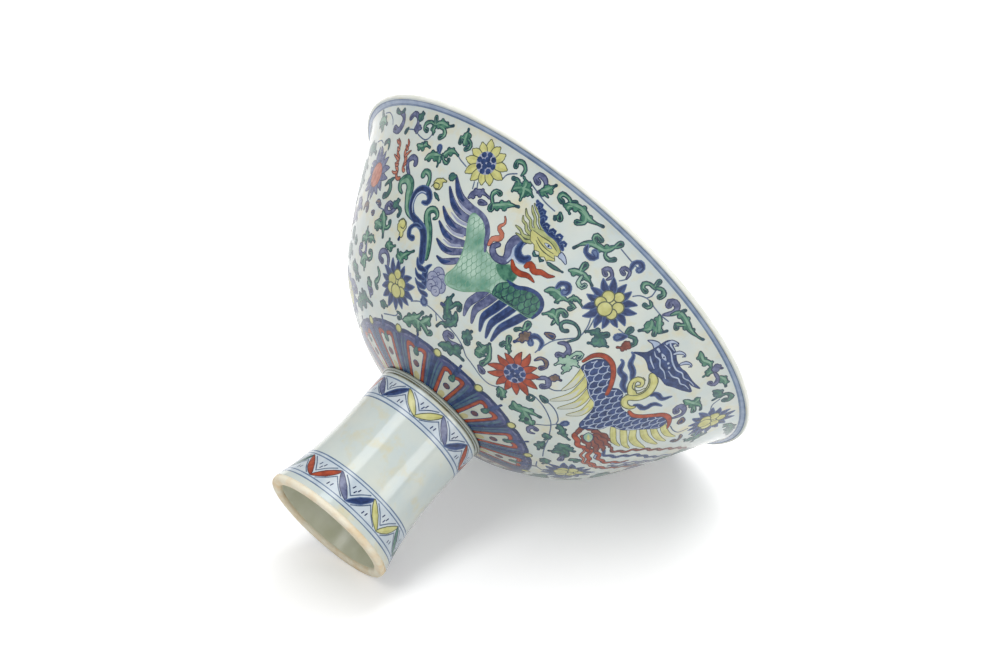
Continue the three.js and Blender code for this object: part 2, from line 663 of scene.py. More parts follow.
# Leaf sprigs between the birds and the flowers
SPRIGS = [
    # top row, left to right
    ("green", "l1.6 -81,79 -78,79.2 -74.7,77.5; b1 -79,80 -79.5,82; l1 -77.5,78.5 -77.5,75.5"),
    ("wash", "c1.5 -67.6,80.6 -65.6,80 -64.8,77.6 -66.2,75 -68.6,75.6"),
    ("leaf", "b.9 -67.6,80.4 -69.5,81.4; b.7 -66.8,80.6 -65.6,81.5"),
    ("wash", "c1.1 -58.6,76.2 -57.9,78 -58.6,80 -60.2,80.7 -61.6,79.3; l -58.3,77 -57.3,76.4 -56,76.7"),
    ("leaf", "l -58,79.3 -57.2,80.4 -56.3,81.2"),
    (
        "green",
        "c -50.8,78.8 -52.8,79.4 -54.6,78.4 -54.5,77 -53.4,76.6; b -51,78.8 -51.2,80 -51.4,81;"
        "l1.1 -50.8,79 -48.8,80 -46.6,79.8 -44.9,80.6; c1.1 -50,79 -47.6,78.6 -46.8,77 -48,75.9;"
        " l.8 -51,79 -51.2,77.5 -50.7,76",
    ),
    (
        "green",
        "l1.1 -39.6,76.8 -39.8,79 -40,81.5; c.9 -39.5,78.5 -41.2,78.4 -41,76.9;"
        " c.9 -39.4,79 -37.8,78 -37.7,76.6 -38.6,75.8",
    ),
    ("green", "c -21.6,77.6 -21.4,79.6 -22.7,81 -24.2,80.4 -24,79"),
    ("wash", "c1.1 -16,76.3 -15,78.5 -16,80.6 -17.8,80.9 -18.2,79.3 -17.2,78.8"),
    ("green", "l1.1 -15.5,77 -14.4,78.6 -13.2,81.3; l.6 -15,77.5 -13.2,77"),
    (
        "green",
        "c -7.5,79.3 -9,80.6 -10.8,80.5 -11,79 -9.9,78.6; l1.2 -8.5,79.2 -5.5,80.4 -2.5,79.6 1,80.8;"
        "c1.1 -6,79.8 -3.6,79.6 -3,77.9 -4.2,76.6; l.9 -7,80 -8.2,78.4 -6.8,77.2; b.7 -8.3,80 -7.2,81",
    ),
    (
        "green",
        "l1.1 6.2,79 5,76.2 2.2,75.2 .3,73.2 -.8,70.3; b1.1 6.2,78.6 6.7,80.6;"
        " c.9 3.5,75.3 1.2,76.3 1.4,77.8 2.9,77.5;c.9 5.3,76.8 5.9,75 7.4,74.8 8.2,76",
    ),
    ("deep", "c1.2 1.3,73.7 2,71.8 3.8,71.6 4.7,72.8 3.7,73.5"),
    ("deep", "c1.2 12.6,77.2 12,79.4 12.8,80.8 14.1,80.2 14,79"),
    ("wash", "c.8 13.6,74.5 13,76.6 11.4,76.4 11.2,75.2 12.2,75"),
    (
        "green",
        "b.9 19.5,79 19.2,81.2; c1.1 19.8,79 21.2,80.3 22.5,79.5 22.3,78.3;"
        " c1 20.2,78.8 18.2,78.6 17.3,77.3 18,76.2 19,76.2",
    ),
    ("green", "c.9 21.6,75.3 22.8,74.8 22.6,73.6 21.6,73.3"),
    ("wash", "c1.3 26.6,75.8 27.5,78 27.2,80.2 25.6,80.8 24.7,79.6 25.4,78.8"),
    (
        "green",
        "l1.1 27.8,77.6 28.5,79.8 31,80 34,79.4 37,80.2 38.3,81; c1 32.5,79.8 31.5,78 30.6,77 31.6,76.4;"
        " b.6 28.5,80 28.8,81.6",
    ),
    (
        "green",
        "l1.1 41.3,78.3 44,77.6 46,79 48.5,78.5; l1 48,79 48.8,77.5 49.2,75.5;"
        " l1.1 51.5,79.5 53.5,80.8 56.2,80.5",
    ),
    ("wash", "l1.2 48.3,79 48.3,80.2 49.2,81.6; c1 49.5,79 52,79.2 53.7,77.6 52.3,76.4"),
    ("leaf", "c1.3 59,77.5 59.3,80.3 61,81.2 62.2,80 61.5,78.9; l1.2 56,76.6 57.5,77.9 59,77.5 59.6,75.5"),
    ("leaf", "l1.4 75.5,78.5 78,80.5 84,81; l 80,80.5 87,81.5"),
    # second row
    ("leaf", "b.9 -61.5,76 -62.3,74.8"),
    ("green", "l -55.3,71.6 -53.5,71.4 -52,72.3 -50.2,72; b.6 -53,71.8 -52.8,72.8"),
    (
        "green",
        "l1.2 -50.3,68.3 -48.8,69.8 -46.5,70.6 -44.4,71.2; l1 -44.6,71 -43.2,73 -41.5,73.6 -40,73.1;"
        "c.8 -45,71.6 -43.6,69.8 -42.4,69.6 -42.3,70.7; l.8 -46,71 -45.3,69 -45.2,67.5",
    ),
    ("deep", "b1.2 -46.2,71.8 -46.8,73"),
    (
        "green",
        "c.8 -20.5,74 -21.5,75.8 -23,75.6; l -19.5,74.3 -19.3,76.3 -20.8,77.6;"
        " l -20,74.6 -17.8,75 -16.4,74.4;l -19.5,75 -18.9,73 -18.6,71.4; l -20,75 -21.5,73.5 -21.6,72.3",
    ),
    ("green", "b1.1 -8.6,75.5 -7.9,74.2; c.6 -7.5,74.8 -9.2,73.8 -8.8,73.2"),
    (
        "green",
        "c -24,65.5 -25.7,67.8 -25.2,69.6 -24,69.6; l1.1 -24.5,65 -22,67 -20,68.6 -18,69.5;"
        " b1.2 -24.5,66 -24.2,64.4",
    ),
    ("wash", "l -31.4,63.7 -30.5,65.6 -28.6,67 -26,66.8; b -26,64.8 -27.7,64.3"),
    ("leaf", "c1.1 -69.3,69 -69.6,71 -71,71.8 -72.3,71.2"),
    ("leaf", "l1.7 -87,72 -82,71 -78,68.5"),
    (
        "green",
        "l1.1 26.2,74.7 28.3,72.6 30,71.6 30.8,73.6; l1.2 26,72 27.3,70 26.3,67.2; b.9 28.2,71.8 29.6,70",
    ),
    ("green", "b1.2 4.3,66.5 4.2,68.8; l1.1 2.2,64.5 4.5,66 7.5,66.3 9,65.8"),
    ("pale_green", "c 5.5,66 6,63.6 7.5,63.3 7.7,64.3"),
    ("wash", "c.9 10.5,70.2 10.8,72 9.2,73 8.2,71.6 9.3,71"),
    ("leaf", "b1.2 24.8,63.6 24.7,65.4; c1 25.5,63.5 27.4,64.7 28.7,63.8 28.3,62.4"),
    ("deep", "b1.4 25.4,63 24.2,60.9"),
    ("rust", "l1 27.3,62.6 28,60.8 26.6,59"),
    (
        "green",
        "l1.2 54.5,67.3 57,69 59.5,71.3 61.5,71; l 56.3,71.8 57.2,70 58,68.5; b1 58.5,69.4 60.8,68.8",
    ),
    ("wash", "c1.3 59.8,62 60,65 58.3,66.3 56,65.6 56.3,63.9 57.8,63.8"),
    ("brown", "b1.5 61.9,64.9 63.4,64.3"),
    ("brown", "c1.1 71,63.5 73,63.5 74.3,62 73,61"),
    ("leaf", "l1.3 73.5,68.8 77,69.2 80.5,68; b1 78,70 77,71.8; l1.1 78,69 77,66 75.5,65"),
    # middle
    ("leaf", "c1.3 -65,57.7 -63.2,59 -61.8,57.3 -62.3,55 -64.2,54.4; l.8 -63,59 -61.2,60.2"),
    ("brown", "c1 -68,52.3 -66.7,52.7 -65.4,51.4"),
    ("brown", "c1.4 -77.5,50.5 -76.5,52 -74.5,51.6 -74.4,50.2"),
    ("brown", "b1 -70,49.2 -68.7,48.8"),
    ("wash", "l1.5 -86,55 -83,53 -80,51"),
    ("wash", "c1.2 -55.6,51.8 -57.8,50 -60.2,49.6 -61.3,51.2 -59.8,52.4 -58.3,51.7"),
    ("leaf", "c.9 -57,52 -55,52 -53.4,51 -53.8,49.6; l -57.5,51.8 -56.3,53 -55.2,54"),
    (
        "green",
        "l1.4 -62.5,49.5 -60.5,46.3 -59,42; l1.3 -65.8,46 -63,45.4 -60.5,44.6;"
        " c -60.5,45.3 -58.3,44.8 -56.9,45.8 -57.1,46.9",
    ),
    ("green", "l -53.3,38.8 -54.3,40.3 -54.8,42; l -55.8,40.6 -54,39.8 -51.2,40.6"),
    ("wash", "c1.1 -53.2,33.2 -53.4,36.4 -55.4,38 -58.2,37.6 -58.8,35.8 -57,34.9"),
    ("green", "l1 -47,35.8 -46.6,38 -44.5,39.8 -42,41.5; l -46.5,38 -48.5,38.4 -49.3,39.8"),
    ("green", "l1.2 -73.5,41.5 -71,41 -68,40.8; l1.1 -70,40.6 -70.5,44.3; l -69,41 -65.5,41 -63.5,40"),
    ("wash", "c1.2 -69.5,39.5 -69.8,36.6 -72.4,35.9 -75.2,37 -74.9,38.8 -73.4,38.6"),
    (
        "green",
        "l1.3 -74,33.5 -70.5,35 -66.5,34.3; c1 -67.4,34.4 -64.8,35 -65,36.9 -66.4,36.8;"
        " l -70.5,34.8 -71.3,31.2",
    ),
    (
        "leaf",
        "l1.5 -84,34 -80,32.5 -78,30; l -82,30 -79.5,29.6 -76,29; l -82,41.8 -80.4,41 -79.8,39.8;"
        " l1.3 -87,46 -85,44 -84,42",
    ),
    (
        "green",
        "c1.2 10.5,50.5 8.6,51.5 7.8,53.2 8.6,54.3 9.8,54; l1 9.4,51.3 7,51.5 5.2,49.5; l.7 9,51 9.2,49",
    ),
    ("leaf", "c.7 16.2,48.6 17.3,51.8 16,53.6 13.6,54.1 11.4,52.8 11,51 12.6,50.1 13.7,51"),
    (
        "green",
        "l1.2 1.2,55.2 3,57 5.5,57.2 8.8,57.8; c.9 8,57.5 9.9,57.6 9.4,56.2; l.8 5.5,57.2 5.3,54.6;"
        " l.7 7.3,57.6 8.5,59.8 11.5,59.3",
    ),
    ("deep", "c1.3 2.8,58 3,60 4.5,60.9 5.7,59.7 5.2,58.6"),
    (
        "leaf",
        "b1.1 20.7,57 21.8,59; l1 22,57 20,57.3 18.5,56.4 17.2,54.9; l1 21.4,57.2 23,56.2 24.8,56.9;"
        " l1.1 21,57 21.8,55.2 20.4,53.2",
    ),
    ("wash", "c1.2 14.8,46.6 16.4,48 18.6,47.4 19.1,45.4 17.6,44"),
    (
        "pale_green",
        "c 20.5,45 20.8,48.5 22.2,49.4 22.4,48; l 20.8,46 20,43.5 19.6,41.3; l 21.2,45.5 23,43 23.4,41.2;"
        " l 21,45.8 23.3,46 24.8,46.3",
    ),
    ("brown", "b1.1 10,45.8 12,46.6"),
    ("deep", "c1.1 12.4,40.8 11.4,43 8.8,43.2 7.6,41.7 9.1,40.4"),
    ("green", "b1.2 4.7,41.6 4.2,44.1; c.8 5,42 3.4,41.4 2.6,40.3"),
    ("brown", "l1.1 6.5,42.5 6.2,40 5,37.2"),
    ("green", "b 4,35 2.9,36.9; c 4.7,35.2 2.9,34.6 2.7,33.6; l.7 4,35.2 5.2,34.4 6.6,33.2"),
    ("brown", "c.9 14.3,37.6 15,39.4 17,39.8 18.3,38.7 17.7,37.2"),
    ("brown", "l.9 22.3,37.3 23.3,38.5 25.3,39.4"),
    ("wash", "c1.2 20.2,34 21.4,36 23.4,36.1 24.6,34.8 23.7,33.6"),
    # far sides
    ("leaf", "l2 -92,59 -88,61.5 -84.5,60.5; l1.4 -88,61 -86,64"),
    ("wash", "l1.8 -92,50.5 -87.5,50.5 -84,48"),
    ("leaf", "l2 -93,40.5 -88,39 -84.5,37.5"),
    ("wash", "c1.8 -91,29.5 -87,28.6 -84.6,26"),
    ("leaf", "l2 -93,66 -88,67 -84,65"),
    # low
    ("green", "c1.1 -59.6,32.6 -58.4,30.4 -60,28.6 -61.7,27.8 -60.9,26.4"),
    ("leaf", "l -58.8,21.9 -56.5,21.6 -53.6,21.3"),
    ("leaf", "c.8 -46.3,20.9 -44,20.6 -43.7,19.5 -45.3,19"),
    ("deep", "b1.6 -32.4,30 -31.6,28.8"),
    (
        "green",
        "l1.6 -41.5,19.2 -37,20.6 -34,22.2 -31,25.2; c1.2 -36,21.6 -31,21.6 -28,20.6 -26,19.6 -24.9,20.4;"
        "l1.2 -33,22 -32.5,20 -32,18; l1.2 -31,21.4 -28,23.5 -26.7,26",
    ),
    ("wash", "b1.5 -68.5,25.8 -66.5,24.8; l -67,25.2 -68,23"),
    ("green", "l1.1 -67.6,26.4 -66.8,28.8"),
    ("leaf", "l2 -87,21.5 -80,22 -74,22.5 -68,20.5; b1 -75.5,22.8 -76,24.8"),
    (
        "leaf",
        "l1 -20.5,31 -21.8,33.5 -21.2,36.3; c -20.5,31.5 -18.8,34.4 -17.2,34.9 -16.9,33.5;"
        " l1.2 -22,33 -20.6,29.8 -18.4,29.4 -17,31.6",
    ),
    ("leaf", "l1.1 -17.4,32 -16.4,29.4 -18.4,26.9 -21.3,25.9 -22.7,24"),
    ("brown", "b.6 -22.7,31.8 -23.8,31.6"),
    ("leaf", "l1.2 -10.2,26.4 -9.3,28.4 -8.7,30.2; b1.3 -9.2,27.2 -7.9,26.1"),
    (
        "green",
        "c1.2 -.8,31 1.4,28.8 2.9,26.4 2.4,23.8; b.9 -1.6,28 -3.7,28.4; l1.2 -3,25.9 -1.2,26.3 .7,26.6;"
        " l1.2 -1.4,26 -1,28.6 -.6,31",
    ),
    ("wash", "c1.2 -8.8,23.5 -11.5,22.6 -15,22 -17.6,22.9 -17,24.4 -14.8,24.3"),
    (
        "leaf",
        "l1.4 -18.4,18.6 -15,20 -11,20.2 -5,19.8; l -11.8,20.5 -11.6,19.5 -11.4,18.2;"
        " l1.1 -10.8,20.5 -8.4,23.4",
    ),
    ("wash", "b1.2 2.2,22.2 4.7,21.6"),
    ("green", "l1.1 15,21.7 17.5,21.5 20.7,19.3; b.8 17,20.8 18.5,19.4"),
    ("leaf", "b1.1 27,31 29.6,31.2"),
    ("leaf", "c.7 24.2,28.4 26.2,29 27,27.6 25.9,26.8 25,27.5"),
    (
        "green",
        "l1.5 24.5,22 28,21.4 31.5,24 36.2,26.2; b1.8 31,22.6 35.5,21.8; l 34,22.5 34.8,21 35.4,19.4;"
        " l1.2 35.5,22 37.6,22.2 40,21.5",
    ),
    ("wash", "c1 45.4,21 43.8,19.7 41.2,20.4 41,21.9 43,22.4"),
    ("deep", "b1.3 42.8,30.6 42.8,32.2"),
    ("leaf", "l1 42.5,29.8 46,30 48.5,29.6 52.5,30.5"),
    ("leaf", "l1 46.3,24.3 48.5,24.5 50.6,23.2; l1.1 52,22.5 55,20.5 58.5,19.6; b.8 54.5,20.6 57,20.8"),
    ("leaf", "l1.7 54.5,27 58,28 61,30.3; b1.6 57,26.5 61,27.5 64,27; l1.2 60.5,27 60,25 59.5,22.8"),
    ("wash", "b1.1 64.5,26.3 68,25.4"),
    ("leaf", "l 67,28.6 69,30.4 69,32.3; l1.2 67.5,20.5 71,20.8 74,19.8"),
]

# Thin cobalt stems that tie the sprigs and flowers together
VINES = [
    "s -62,75.6 -58.5,75.8 -56,74.5 -53,73.7 -51.4,75 -51,76.5",
    "s -40.2,73.2 -38.6,72.2 -36.3,71.3",
    "s -19,77.6 -16.5,76.5 -13,75.3 -10,75",
    "s -25.4,73.6 -24.8,75.6 -22.8,77.3",
    "s 7.6,79.6 11,79.2 13.6,79.1",
    "s 12.7,77.6 13.6,76 13.5,74 12.8,72.6",
    "s 18,72.4 19,74.1 21,75.2 24,75 26.5,75.1 28.8,75.7",
    "s 20.4,78.6 20.9,76.6 20.5,75.2",
    "s 60.4,77.6 61.6,75 63.6,74",
    "s -77,81.3 -74,81 -71.5,79 -70.5,77",
    "s -79,72.3 -76,72.4 -74,71.3",
    "s -68.5,52.2 -65,50.6 -61,50",
    "s 14.7,59.6 16.1,57.2 17,54.8 17.3,52.6",
    "s 16,59.4 16.9,57 17.6,54.6",
    "s 12.3,39.4 12.4,42.5 13.2,46 15.5,49.4 17,51.5",
    "s 22.6,62.8 24.8,63.2",
    "s -31.6,66.5 -32,68.5; s -30.3,66.8 -31,68.8",
    "s -38,26.6 -33,28.2 -27.5,28.2 -22,27.2 -17,26.3 -11.5,25 -8,23.5 -5,21.8 -2,21.2 1,20.6 6,19.7"
    " 11,19.8 14.6,21.4",
    "s -25,27.8 -23.6,25.6",
    "s -57,18.4 -48,19.2 -46,20.4",
    "s -46,23.6 -47,21.6",
    "s 24.6,34.6 27.4,35.8 29.4,38.6",
    "s 29.4,31 32,31.8 36,31.8 40,30.8 41.6,29.6",
    "s 26.4,29.4 31,29.5 36,29 41,28 46,26 50,24.5 55,22.4 60,21 65,20.2",
    "s 42,29.6 41.5,26.6 39.4,23.2",
    "s 72,18 78,17.8 82,19 84.5,20.4",
    "s 68.7,66 68.8,63 66.5,61.4 63.5,60.8",
]


def circle(sheet, place, radius, count, squash=1.0):
    """Places on a circle of a radius in millimetres, or on an oval that is squashed across."""
    angles = [2 * math.pi * k / count for k in range(count)]
    return sheet.local(place, [(radius * squash * math.cos(a), radius * math.sin(a)) for a in angles])


# Petals: how wide they are from the heart to the tip, as shares of the flower's radius
POINTED = (0.26, 0.33, 0.28, 0.18, 0.05)
ROUNDED = (0.3, 0.38, 0.42, 0.36, 0.14)

# Flowers, in shares of the radius: the disc under the petals, a petal's path as shares of its bend and
# reach, how unevenly the petals reach and bend from one to the next, the heart, and the rings of seeds
DISC_RADIUS = 0.54
PETAL_PATH = ((0.0, 0.42), (0.0, 0.62), (0.25, 0.82), (1.0, 1.0))
REACH_CHANGE = 0.08
REACH_TURN = 5
BEND_TURN = 3
HEART_RADIUS = 0.4
SEED_RINGS = ((8, 0.76), (4, 0.32))
SEED_RADIUS = 0.27

# Lobes of a flower's heart: across, up and radius, as shares of the flower's radius
HEART_LOBES = [
    (0.02, 0.38, 0.17),
    (-0.23, 0.15, 0.2),
    (0.26, 0.13, 0.19),
    (-0.25, -0.15, 0.19),
    (0.27, -0.16, 0.18),
    (0, -0.2, 0.24),
]


def add_flower(sheet, place, radius, petal, disc, count=12, start=0.0, hook=0.1, shape=POINTED):
    """A lotus seen from the front: petals with bent tips round a disc."""
    sheet.patch(disc, circle(sheet, place, radius * DISC_RADIUS, 14), edge=0)
    widths = [radius * share for share in shape]
    for k in range(count):
        reach = radius * (1 + REACH_CHANGE * math.sin(REACH_TURN * k + place[0]))
        bend = hook * math.sin(BEND_TURN * k + place[1])
        path = [(side * bend * reach, up * reach) for side, up in PETAL_PATH]
        sheet.leaf(petal, [(sheet.local(place, path, start + 360.0 * k / count), widths)], edge=0.3)


def add_heart(sheet, place, radius, pigment, line):
    """The rolled young leaves or seeds in the middle of a flower."""
    sheet.patch(pigment, circle(sheet, place, radius * HEART_RADIUS, 12), edge=0)
    for x, y, size in HEART_LOBES:
        middle = sheet.local(place, [(x * radius, y * radius)])[0]
        sheet.patch(pigment, circle(sheet, middle, size * radius, 9), edge=0.4, line=line)


def add_seeds(sheet, place, radius):
    """A dark seed head: rings of round seeds on a pale disc."""
    sheet.patch("lavender", circle(sheet, place, radius, 14), edge=0)
    for count, share in SEED_RINGS:
        for seed in circle(sheet, place, radius * share, count):
            sheet.patch("deep", circle(sheet, seed, radius * SEED_RADIUS, 7), edge=0)


def paint_flowers(sheet):
    """Seven lotus flowers."""
    for place, radius, start in [
        ((-47.3, 29.2), 7.6, 0),
        ((15.8, 65.6), 7.8, 12),
        ((69.6, 73.4), 7.8, 5),
        ((82.6, 27.6), 8.0, 0),
    ]:
        add_flower(sheet, place, radius, "deep", "deep", count=14, start=start, hook=0.08)
        add_heart(sheet, place, radius * 1.2, "yellow", "olive")
    add_flower(sheet, (-31.4, 75.1), 6.7, "yellow", "olive", start=14, hook=0.05, shape=ROUNDED)
    add_seeds(sheet, (-31.4, 75.1), 3.5)
    add_flower(sheet, (13.8, 29.6), 7.7, "red", "red", count=13, start=8)
    add_seeds(sheet, (13.8, 29.6), 3.4)
    add_flower(sheet, (-73.0, 61.4), 8.2, "wash", "wash", count=14, hook=0.15)
    sheet.patch("salmon", circle(sheet, (-73.0, 61.0), 3.9, 12), edge=0.3, line="rust")


def paint_sprigs(sheet):
    """The leaf sprigs and the stems between them."""
    for vine in VINES:
        for path, widths in strokes(vine):
            sheet.brush("vine", path, widths)
    for pigment, text in SPRIGS:
        sheet.leaf(pigment, strokes(text), lobes=True)


def scales(sheet, pigment, inside, step, width):
    """Rows of scale edges, each a deep arc, as far as they are inside the outline."""
    turns = [turn for turn, along in inside]
    alongs = [along for turn, along in inside]
    rows = int((max(alongs) - min(alongs)) / step)
    for row in range(rows + 1):
        along = min(alongs) + row * step
        across = sheet.degrees(step, along)
        turn = min(turns) + across * 0.5 * (row % 2)
        while turn < max(turns):
            scale = sheet.local((turn, along), [(x * step, y * step) for x, y in SCALE_EDGE])
            line = [place for place in sheet.run(scale) if within(place, inside)]
            if len(line) > 2:
                sheet.trail(pigment, line, [width])
            turn += across


def feather(sheet, text, base, tip=None):
    """A long feather, whose outer half can be of another paint."""
    rim, core = TONES.get(base, ("line", None))
    for path, widths in strokes(text):
        run = sheet.run(path)
        sheet.trail(rim, run, [width + LINE_WIDTH for width in widths])
        sheet.trail(base, run, widths)
        if core:
            sheet.trail(core, run, [width * CORE_WIDTH[0] + CORE_WIDTH[1] for width in widths], CORE_PLACE)
        if tip:
            outer = run[len(run) // 3 :]
            shares = [TIP_START + (1 - TIP_START) * k / TIP_STEPS for k in range(TIP_STEPS + 1)]
            parts = [min(TIP_FULL, TIP_WIDENS[0] * share + TIP_WIDENS[1]) for share in shares]
            sheet.trail(
                tip, outer, [spread(widths, share) * part for share, part in zip(shares, parts)], TIP_PLACE
            )


def paint_green_tail(sheet):
    """The tail: salmon flames, scrolled plumes and a bunch of violet berries."""
    sheet.leaf("yellow", strokes("b2.4 -50.6,48.2 -50.6,47; b1 -50,45.6 -49.8,44.4"))
    sheet.brush("olive", places("-52.8,48 -51,49.3 -49.2,48 -49.6,46.4 -51,46.6"), [0.4])
    sheet.leaf("line", strokes("b.5 -50.2,43.6 -50.3,42.9"))
    for path in (
        "-58.6,60.4 -60.6,61.4 -61.6,64.4 -62.8,68 -64.4,72.6", "-57.6,63 -58.6,65.8 -59.4,69.4 -59.6,72.6"
    ):
        sheet.leaf("salmon", stroke(path, 1.2, 1.0, 1.4, 1.0, 1.1, 0.4), edge=0.3, swing=(0.5, 4.5))
    for path in (
        "-60.8,62 -62.2,61.8 -63.4,62.2",
        "-61.4,64.4 -62.4,64.2 -63,64.8",
        "-62,66 -63.6,66.8 -64.8,67.4",
        "-63,69 -63.8,69.2 -64.2,69.8",
        "-64.2,71.2 -65,71.6 -65.6,72",
        "-58.9,67.6 -58,68.6 -57.2,69.4",
        "-59,69.6 -59.6,70 -60.2,70.8",
        "-58.2,64.8 -57.6,65.4 -57.4,66.2",
    ):
        sheet.leaf("salmon", stroke(path, 1.1, 0.8, 0.3), edge=0.3)
    sheet.leaf("wash", strokes("c1.2 -54.3,62 -56.2,64 -56.9,66.2 -55.4,67.7 -53.8,67.2 -53.5,66"))
    sheet.leaf(
        "green",
        stroke(
            "-46.5,50 -50.3,52 -51.8,56 -52.7,59.6 -55,60.9 -57.2,59.4 -56.8,57.4 -55.2,56.4",
            0.9, 1.8, 2.4, 3.2, 3.3, 2.8, 1.8, 0.7,
        ),
    )
    sheet.leaf("green", strokes("c1.2 -46,60 -45.9,62.8 -47,64.7 -48.7,64.8 -48.9,63.5"))
    sheet.leaf("yellow", strokes("b2.1 -42.6,62 -42.4,62.9; l.8 -42.5,63.6 -41.4,64.4 -40.2,64.6"))
    sheet.brush("olive", places("-44.3,61.4 -43.6,62.8 -42,62.9 -41.8,61.6 -43,61.3"), [0.4])
    sheet.leaf("leaf", strokes("l.6 -42.4,60 -41,59.2 -40,58.6"))
    sheet.leaf(
        "green",
        stroke(
            "-36.4,41.5 -37.8,46 -39.6,49.6 -41.6,52.4 -41.9,54.4 -40.2,55.5 -38.6,54.8 -38.3,53.6"
            " -39.2,52.9",
            1.8, 2.4, 2.5, 2.7, 2.6, 2.4, 2.0, 1.3, 0.6,
        ),
    )
    sheet.leaf(
        "deep",
        stroke(
            "-37.6,40 -39.4,45 -41.4,48.4 -44.6,49.9 -47.6,51.2 -49.4,54 -49.3,57.4 -47.4,59.5 -44.8,59.5"
            " -43.3,57.9 -43.7,56.3 -45.4,56",
            2.2, 2.4, 2.3, 2.4, 2.3, 2.0, 1.9, 2.0, 2.3, 2.3, 1.9, 0.9,
        ),
    )
    sheet.brush(
        "pale", places("-47.8,51.9 -49,54.2 -48.7,57.2 -47.2,58.8 -45.4,58.9"), [0.2, 0.4, 0.4, 0.3]
    )
    sheet.leaf("deep", strokes("c1.1 -42.3,48.9 -45,48.9 -46.7,47.2 -46.1,45.1 -44.3,44.9"))
    for turn, along, size in (
        (-29.4, 39.2, 1.8),
        (-27.2, 38, 1.7),
        (-26.8, 35.9, 1.6),
        (-31, 37.2, 1.7),
        (-28.8, 36.2, 1.8),
        (-30.6, 34.8, 1.6),
        (-28.2, 34, 1.4),
    ):
        sheet.patch("lavender", circle(sheet, (turn, along), size * 1.15, 8), edge=0.3, line="wash")
        sheet.brush(
            "wash", sheet.local((turn, along), [(-0.6, 0.1), (0, 0.6), (0.6, 0), (0.1, -0.4)]), [0.3]
        )
    sheet.leaf("deep", stroke("-33.3,40.4 -34.6,38.6 -34.4,36 -33.2,33.4", 0.4, 1.8, 2.0, 1.6), edge=0.3)
    for turn, along, rise in ((-31.4, 31.2, 0.9), (-33.3, 33, 1.3), (-34.3, 35.3, 1.8), (-34.9, 37.9, 2.4)):
        hook = [
            (turn, along), (turn - 2.6, along), (turn - 3.8, along + rise / 3), (turn - 4.8, along + rise)
        ]
        sheet.leaf("deep", [(hook, [1.3, 1.7, 1.0, 0.1])], edge=0.3)


def paint_green_left_wing(sheet):
    """The feathers of the left wing, with cobalt tips."""
    for text in (
        "f1.15 -26.6,61 -31,61.6 -34.6,63.3 -37.8,67.4",
        "f1.1 -26.6,58.3 -31,58.1 -35,59.9 -38.3,63.6",
        "f1.1 -26.4,54.5 -31,53.9 -34.8,55.1 -37.6,57.5",
        "f1 -25.8,51.2 -30,50.3 -33.8,51 -36.9,53.1",
        "f.95 -25.4,48.8 -29,47 -32,46.8 -35.2,48.1",
        "f.9 -25,46 -28,44.1 -30.2,43.2 -32.6,43.6",
    ):
        feather(sheet, text, "wash", "deep")
    for text in (
        "-28,59.9 -31,60 -34,61.2",
        "-28,56.4 -31,56.1 -34.4,57.2",
        "-27.6,52.9 -30.6,52.2 -34,53",
        "-27,49.9 -30,48.7 -33,49",
    ):
        sheet.brush("lavender", places(text), [0.9, 0.9, 0.3])
    sheet.leaf("leaf", strokes("b1.4 -38,67.2 -39,66.6"))


def paint_green_right_wing(sheet):
    """The long feathers of the right wing."""
    for text, upper in (
        ("f1.25 -11.6,47 -13.4,41 -15,37 -14.3,33", "wash"),
        ("f1.25 -8.4,47 -10.2,41 -11.8,36.8 -10.5,32.6", "wash"),
        ("f1.25 -5,47.4 -6.8,41 -8.1,36.4 -6.4,32.2", "deep"),
        ("f1.2 -1.6,47.8 -3.4,41.4 -4.7,36.4 -3.2,31.8", "deep"),
        ("f1.2 2.6,48 .4,42 -1.4,37 -1,32.2", "deep"),
    ):
        feather(sheet, text, upper)


def paint_green_body(sheet):
    """The scaled body, the shoulder, and the scaled upper part of the right wing."""
    body = places(
        "-28,60.3 -24,60.6 -21.5,58.5 -20,55 -18.7,53.1 -14,52.6 -10.5,54.3 -7.6,53 -7.5,50.6 -5,50.8"
        " -2.5,52.2 .3,52.8 3,51.4 4,48.5 3.2,45.8 -2,44.9 -8,44 -12,43.6 -16,40.7 -20,38.5 -25,37.8"
        " -26.8,40 -25.2,43.5 -25,47 -26,52 -28,57"
    )
    sheet.patch("body_green", body, line="mid_green")
    scales(sheet, "mid_green", body, 1.8, 0.2)
    shoulder = places("-14.4,51.6 -12.6,53.2 -10.5,54.2 -7.7,52.9 -7.6,50.6 -9.6,49.4 -12.2,49.8")
    sheet.patch("green", shoulder, edge=0.2, line="mid_green")
    wing = places(
        "-10.4,44 -10.6,47.4 -8,50 -5,50.7 -2.4,52 .4,52.7 2.8,51.2 3.8,48.4 3.1,45.9 -2,45 -8,44.1"
    )
    sheet.patch("green", wing, edge=0.2, line="green_rim")
    scales(sheet, "green_rim", wing, 2.1, 0.3)
    sheet.brush(
        "wash",
        places("-32,61.8 -27.4,61.6 -24,60.7 -21.6,58.2 -20.4,55.2 -19.3,52.9"),
        [0.8, 1.6, 1.7, 1.7, 1.5, 0.8],
    )
    sheet.brush(
        "deep",
        places("-9,50 -5.6,50.3 -3,51.9 0,52.8 2.7,51.9 4,49.5 3.8,46.4"),
        [0.5, 1.2, 1.3, 1.2, 1.3, 1.2, 0.8],
    )


